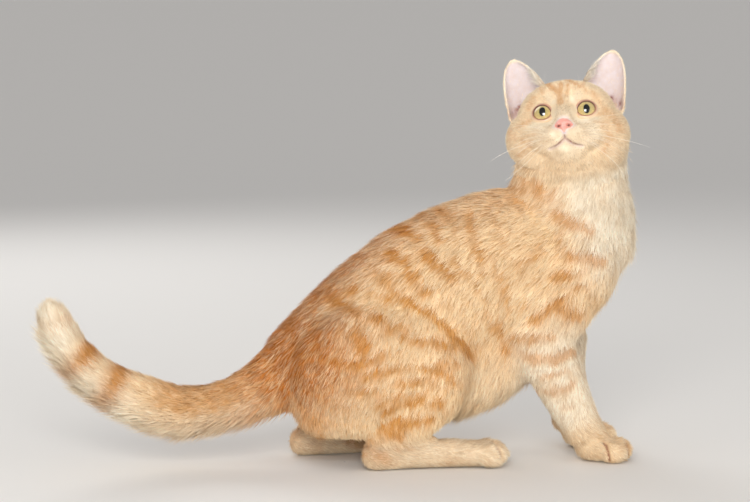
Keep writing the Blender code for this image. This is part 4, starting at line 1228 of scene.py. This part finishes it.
def lids(name, side):
    b = np.linspace(0, 2 * math.pi, 96, endpoint=False)
    rim = almond(b, side)
    way_out = unit(rim)
    angle = np.arcsin(np.minimum(np.hypot(*rim.T) / EYE_RADIUS, 0.98))
    above = ease(np.sin(b), -0.1, 0.6)
    step, high = LID_PROFILE.T
    filled = np.exp(-(((step - 1.24) / 0.04) ** 2))[:, None] * (1 - above) * 0.6
    a = angle * step[:, None]
    towards = np.concatenate([np.cos(a)[..., None], np.sin(a)[..., None] * way_out], -1)
    skin_there = skin_from_eye(name, towards.reshape(-1, 3)).reshape(a.shape)
    skin_there = np.minimum(skin_there, EYE_RADIUS + np.interp(step, SOCKET[:, 0], SOCKET[:, 1] / 1000)[:, None])
    reach = EYE_RADIUS + (high[:, None] + filled) / 1000
    onto = ease(step, 1.22, 1.38)[:, None]
    reach = reach + onto * (skin_there + 0.0003 - 0.0018 * ease(step, 1.36, 1.48)[:, None] - reach)
    grid = (towards * reach[..., None]) @ LID_TURN[name].T + EYE_AT[name]
    values = {"step": np.interp(step, [0.9, 1.17, 1.5], [0, 0.34, 1.0])[:, None], "above": above}
    piece = ring_piece("lids_" + name, grid, values, LID_SKIN, "coat_pale")
    smooth = piece.modifiers.new("smooth", "SUBSURF")
    smooth.levels = smooth.render_levels = 1


def lid_material():
    """A dark wet edge that turns pinkish, then into the cream of the short hair; above the eye a darker band on the
    fold is painted shade.
    """
    material = bpy.data.materials.new("lid_skin")
    material.use_nodes = True
    shader, put, stops, links = node_maker(material.node_tree)
    step, above = (reads(material.node_tree.nodes, n) for n in ("step", "above"))
    grain = put("TexNoise", (0, put("TexCoord", out=3)), ("Scale", 900.0), ("Detail", 3.0))
    at = put("Math", (0, step), (1, put("Math", (0, grain), (1, 0.05), operation="MULTIPLY")))
    lower = stops(
        at, (0.03, (44, 28, 22)), (0.07, (110, 74, 58)), (0.12, (196, 146, 120)),
        (0.3, (236, 206, 172)), (0.7, (243, 220, 188)),
    )
    # above the eye, the darker stop at 0.49 lies on the lid's fold and is painted shade
    upper = stops(
        at, (0.05, (40, 26, 20)), (0.10, (92, 60, 48)), (0.17, (182, 132, 110)), (0.36, (226, 186, 158)),
        (0.49, (178, 130, 108)), (0.58, (228, 192, 158)), (0.75, (243, 218, 184)),
    )
    links.new(put("Mix", (0, above), (6, lower), (7, upper), out=2, data_type="RGBA"), shader.inputs["Base Color"])
    links.new(put("MapRange", (0, step), (1, 0.15), (2, 0.4), (3, 0.25), (4, 0.65)), shader.inputs["Roughness"])
    links.new(put("Bump", ("Strength", 0.3), ("Distance", 0.0002), ("Height", grain)), shader.inputs["Normal"])
    return material


LID_SKIN = lid_material()
for name, side in EYE_SIDES.items():
    lids(name, side)

# %% [markdown]
# ## Nose leather
# The bare nose is a rounded triangle with a stem down to the lip, and a comma-shaped nostril
# on each side. It is one patch in rings: the outline is walked once, each ring is a smaller
# copy of it, the middle bulges, and two pits are pressed in.

# %% The look of the nose
def nose_material():
    """Pink, a little wet, pebbled, and dark red in the nostrils as painted shade."""
    material = bpy.data.materials.new("nose_pink")
    material.use_nodes = True
    shader, put, stops, links = node_maker(material.node_tree)
    nostril_shade, stem = (reads(material.node_tree.nodes, n) for n in ("nostril_shade", "stem"))
    place = put("TexCoord", out=3)
    pebble = put("TexVoronoi", (0, place), ("Scale", 1700.0))
    blush = put("TexNoise", (0, place), ("Scale", 260.0), ("Detail", 3.0))
    pink = stops(blush, (0.3, (238, 160, 146)), (0.7, (252, 190, 176)))
    pink = put("Mix", (0, stem), (6, pink), (7, linear(248, 190, 174)), out=2, data_type="RGBA")
    # painted shade: dark red where the inside of each nostril lies in shade
    colour = put("Mix", (0, nostril_shade), (6, pink), (7, linear(132, 60, 54)), out=2, data_type="RGBA")
    links.new(colour, shader.inputs["Base Color"])
    links.new(put("MapRange", (0, pebble), (3, 0.38), (4, 0.5)), shader.inputs["Roughness"])
    shader.inputs["Subsurface Weight"].default_value = 0.12
    shader.inputs["Subsurface Radius"].default_value = (0.0012, 0.0006, 0.0004)
    links.new(put("Bump", ("Strength", 0.35), ("Distance", 0.0002), ("Height", pebble)), shader.inputs["Normal"])
    return material


# %% The nose as a patch of rings
# the two strokes of a nostril in millimetres: from, to, depth, half width
NOSTRIL = (((3.1, -1.1), (4.5, -1.8), 2.6, 0.85), ((4.5, -1.8), (6.8, -1.0), 1.6, 0.5))


def nose():
    """x = middle - y^2 / 19 mm - z^2 / 16 mm (32 mm below the middle), a rim that turns under, and two pits."""
    whole = np.concatenate([NOSE_OUTLINE, NOSE_OUTLINE[:1]])
    run = np.concatenate([[0], np.cumsum(np.linalg.norm(np.diff(whole, axis=0), axis=1))])
    at = np.linspace(0, run[-1], 120, endpoint=False)
    rim = np.stack([np.interp(at, run, whole[:, i]) for i in (0, 1)], 1)
    for _ in range(6):
        rim = (np.roll(rim, 1, 0) + 2 * rim + np.roll(rim, -1, 0)) / 4
    size = np.concatenate([np.linspace(0.01, 1.0, 40), [1.03, 1.02]])[:, None]
    y, z = rim[:, 0] * size, rim[:, 1] * size
    under = np.concatenate([0.0009 * np.linspace(0, 1, 40) ** 6, [0.0022, 0.0045]])[:, None]
    x = -(y**2) / 0.019 - np.where(z > 0, z**2 / 0.016, z**2 / 0.032) - under
    x += 0.0007 * np.exp(-(((abs(y) - 0.0050) / 0.0018) ** 2 + ((z + 0.0002) / 0.0020) ** 2))
    x -= 0.0006 * np.exp(-((y / 0.0007) ** 2)) * ease(-z, -0.003, 0.002)
    spot = np.stack([abs(y), z], -1)
    for start, end, deep, wide in NOSTRIL:
        a, d = np.array(start) / 1000, (np.array(end) - start) / 1000
        t = np.clip((spot - a) @ d / (d @ d), 0, 1)
        x -= deep / 1000 * np.exp(-((np.linalg.norm(spot - (a + t[..., None] * d), axis=-1) / (wide / 1000)) ** 2))
    # painted shade inside each nostril
    nostril_shade = np.exp(-((np.linalg.norm((spot - [0.0043, -0.0019]) / [1.5, 0.9], axis=-1) / 0.0011) ** 2))
    values = {"nostril_shade": nostril_shade, "stem": ease(-z, 0.003, 0.009)}
    ring_piece("nose_leather", np.stack([x, y, z], -1) + NOSE_MIDDLE, values, nose_material(), "nose_leather", "nose")


nose()

# %% [markdown]
# ## Whiskers, brow hairs and the hairs of the ears
# Whiskers are single stiff hairs, so each is a thin tube that tapers to a point and sags a
# little. All of one kind are worked out together: a curve through three points for each, and
# a ring of corners round every step of the curve. Four of them follow the long ones that show.

# %% Tapered hairs
def hairs(name, root, middle, tip, thick, material, sides=5, steps=12):
    """Tubes on (1-u)(1-2u) root + 4u(1-u) middle + u(2u-1) tip, as thick as thick times 1 - 0.93 u^1.5."""
    u = np.linspace(0, 1, steps)[None, :, None]
    path = (1 - u) * (1 - 2 * u) * root[:, None] + 4 * u * (1 - u) * middle[:, None] + u * (2 * u - 1) * tip[:, None]
    ahead = unit(np.gradient(path, axis=1))
    one = unit(np.cross(ahead, [0.3, 0.1, 1.0]))
    other = np.cross(ahead, one)
    turn = np.linspace(0, 2 * math.pi, sides, endpoint=False)[None, None, :, None]
    radius = (thick[:, None, None] / 2 * (1 - 0.93 * u**1.5))[..., None]
    ring = path[:, :, None] + radius * (np.cos(turn) * one[:, :, None] + np.sin(turn) * other[:, :, None])
    count = len(root)
    faces = (ring_faces(steps, sides)[None] + np.arange(count)[:, None, None] * steps * sides).reshape(-1, 4)
    obj = mesh_object(name, from_head(ring.reshape(-1, 3)), faces)
    close_ends(obj.data)
    give(obj.data, "along", np.broadcast_to(u[..., None], (count, steps, sides, 1)).ravel())
    obj.data.materials.append(material)
    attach(obj, "root")


def hair_material():
    """Ivory, a little darker at the root and clear of colour at the tip."""
    material = bpy.data.materials.new("ivory_hair")
    material.use_nodes = True
    shader, put, stops, links = node_maker(material.node_tree)
    at = reads(material.node_tree.nodes, "along")
    colour = stops(at, (0.0, (236, 214, 186)), (0.5, (255, 244, 226)), (1.0, (255, 252, 246)))
    links.new(colour, shader.inputs["Base Color"])
    links.new(put("MapRange", (0, at), (3, 0.28), (4, 0.5)), shader.inputs["Roughness"])
    return material


def front_at(y, z):
    """How far forward the skin of the face lies at places across and up: a soft mean of its points there."""
    ahead = face[(face[:, 0] > 0.018) & (bare_nose > 0)]
    near = np.exp(-((y[:, None] - ahead[:, 1]) ** 2 + (z[:, None] - ahead[:, 2]) ** 2) / 0.0012**2) + 1e-12
    return near @ ahead[:, 0] / near.sum(1)


# %% Whiskers on both sides
IVORY = hair_material()
dice = np.random.default_rng(51)
LONG_WHISKERS = np.array([  # root, middle and tip in millimetres, forwards, across and up from the middle of the head
    ((42, 15, -25.5), (30, 48.6, -28.6), (18, 75.3, -35.9)), ((42, 14, -29.5), (30, 40.1, -47.7), (22, 49.2, -64)),
    ((42, -15, -26.0), (36, -50.6, -31.5), (30, -70, -39.2)), ((42, -14, -30), (31, -44, -49), (26, -58.7, -57.2)),
]) / 1000
row, column, flip = (v.ravel() for v in np.meshgrid(np.arange(4), np.arange(3), [-1, 1], indexing="ij"))
root = np.stack([0 * row, flip * (11.5 + 3.2 * column + 0.8 * row), -22.5 - 2.7 * row - 0.6 * column], 1) / 1000
root += dice.uniform(-0.0006, 0.0006, root.shape)
reach = dice.uniform(0.026, 0.046, len(root))
ahead = unit(np.stack([-0.35 - 0.10 * column, flip * 1.0, 0.30 - 0.30 * row + dice.uniform(-0.08, 0.08, len(row))], 1))
tip = root + ahead * reach[:, None]
middle = root + ahead * reach[:, None] * 0.52 + np.array([0.05, 0, 0.09]) * reach[:, None]
root = np.concatenate([LONG_WHISKERS[:, 0], root])
root[:, 0] = front_at(root[:, 1], root[:, 2]) - 0.0012
middle[:, 0] += root[4:, 0]
tip[:, 0] += root[4:, 0]
middle, tip = np.concatenate([LONG_WHISKERS[:, 1], middle]), np.concatenate([LONG_WHISKERS[:, 2], tip])
hairs("whiskers", root, middle, tip, np.array([0.00052] * 4 + [0.00032] * len(row)), IVORY)

BROW_HAIRS = np.array([
    ((26, -15.5, 15.5), (25, -16.4, 33), (26, -14.3, 45.3)), ((26, 14.5, 15), (25, 14.9, 30), (26, 13.9, 40.5)),
    ((25, -18.5, 14.5), (25, -22, 27), (24, -24, 36)), ((25, 17.5, 14.5), (25, 21, 26), (24, 23, 34)),
]) / 1000
hairs("brow_hairs", *BROW_HAIRS.transpose(1, 0, 2), np.full(4, 0.00022), IVORY)

# %% Long hairs at the front edge of each ear
count = 200
t, flip = np.tile(np.linspace(0.0, 0.62, count), 2), np.repeat([-1, 1], count)
EAR_FRONT = np.array([
    (4.0, 17.5, 35.0), (3.0, 20.5, 42.0), (1.0, 24.5, 48.5), (-1.0, 28.5, 54.8), (-3.0, 33.0, 60.6),
]) / 1000
root = np.stack([np.interp(t, np.linspace(0, 1, 5), EAR_FRONT[:, i]) for i in range(3)], 1)
root = root + dice.normal(0, 0.0007, (2 * count, 3))
reach = dice.uniform(0.008, 0.018, 2 * count) * (1.1 - 0.5 * t)
ahead = unit(np.stack([0.10 + 0 * t, 0.85 + 0 * t, 0.55 + 0.4 * t], 1) + dice.normal(0, 0.14, (2 * count, 3)))
middle, tip = root + (ahead + [0.22, 0, 0.1]) * reach[:, None] * 0.5, root + (ahead - [0.25, 0, 0]) * reach[:, None]
mirror = np.stack([np.ones(2 * count), flip, np.ones(2 * count)], 1)
thick = dice.uniform(0.0003, 0.0006, 2 * count)
hairs("ear_hairs", root * mirror - [0.0008, 0, 0], middle * mirror, tip * mirror, thick, IVORY, sides=3, steps=7)
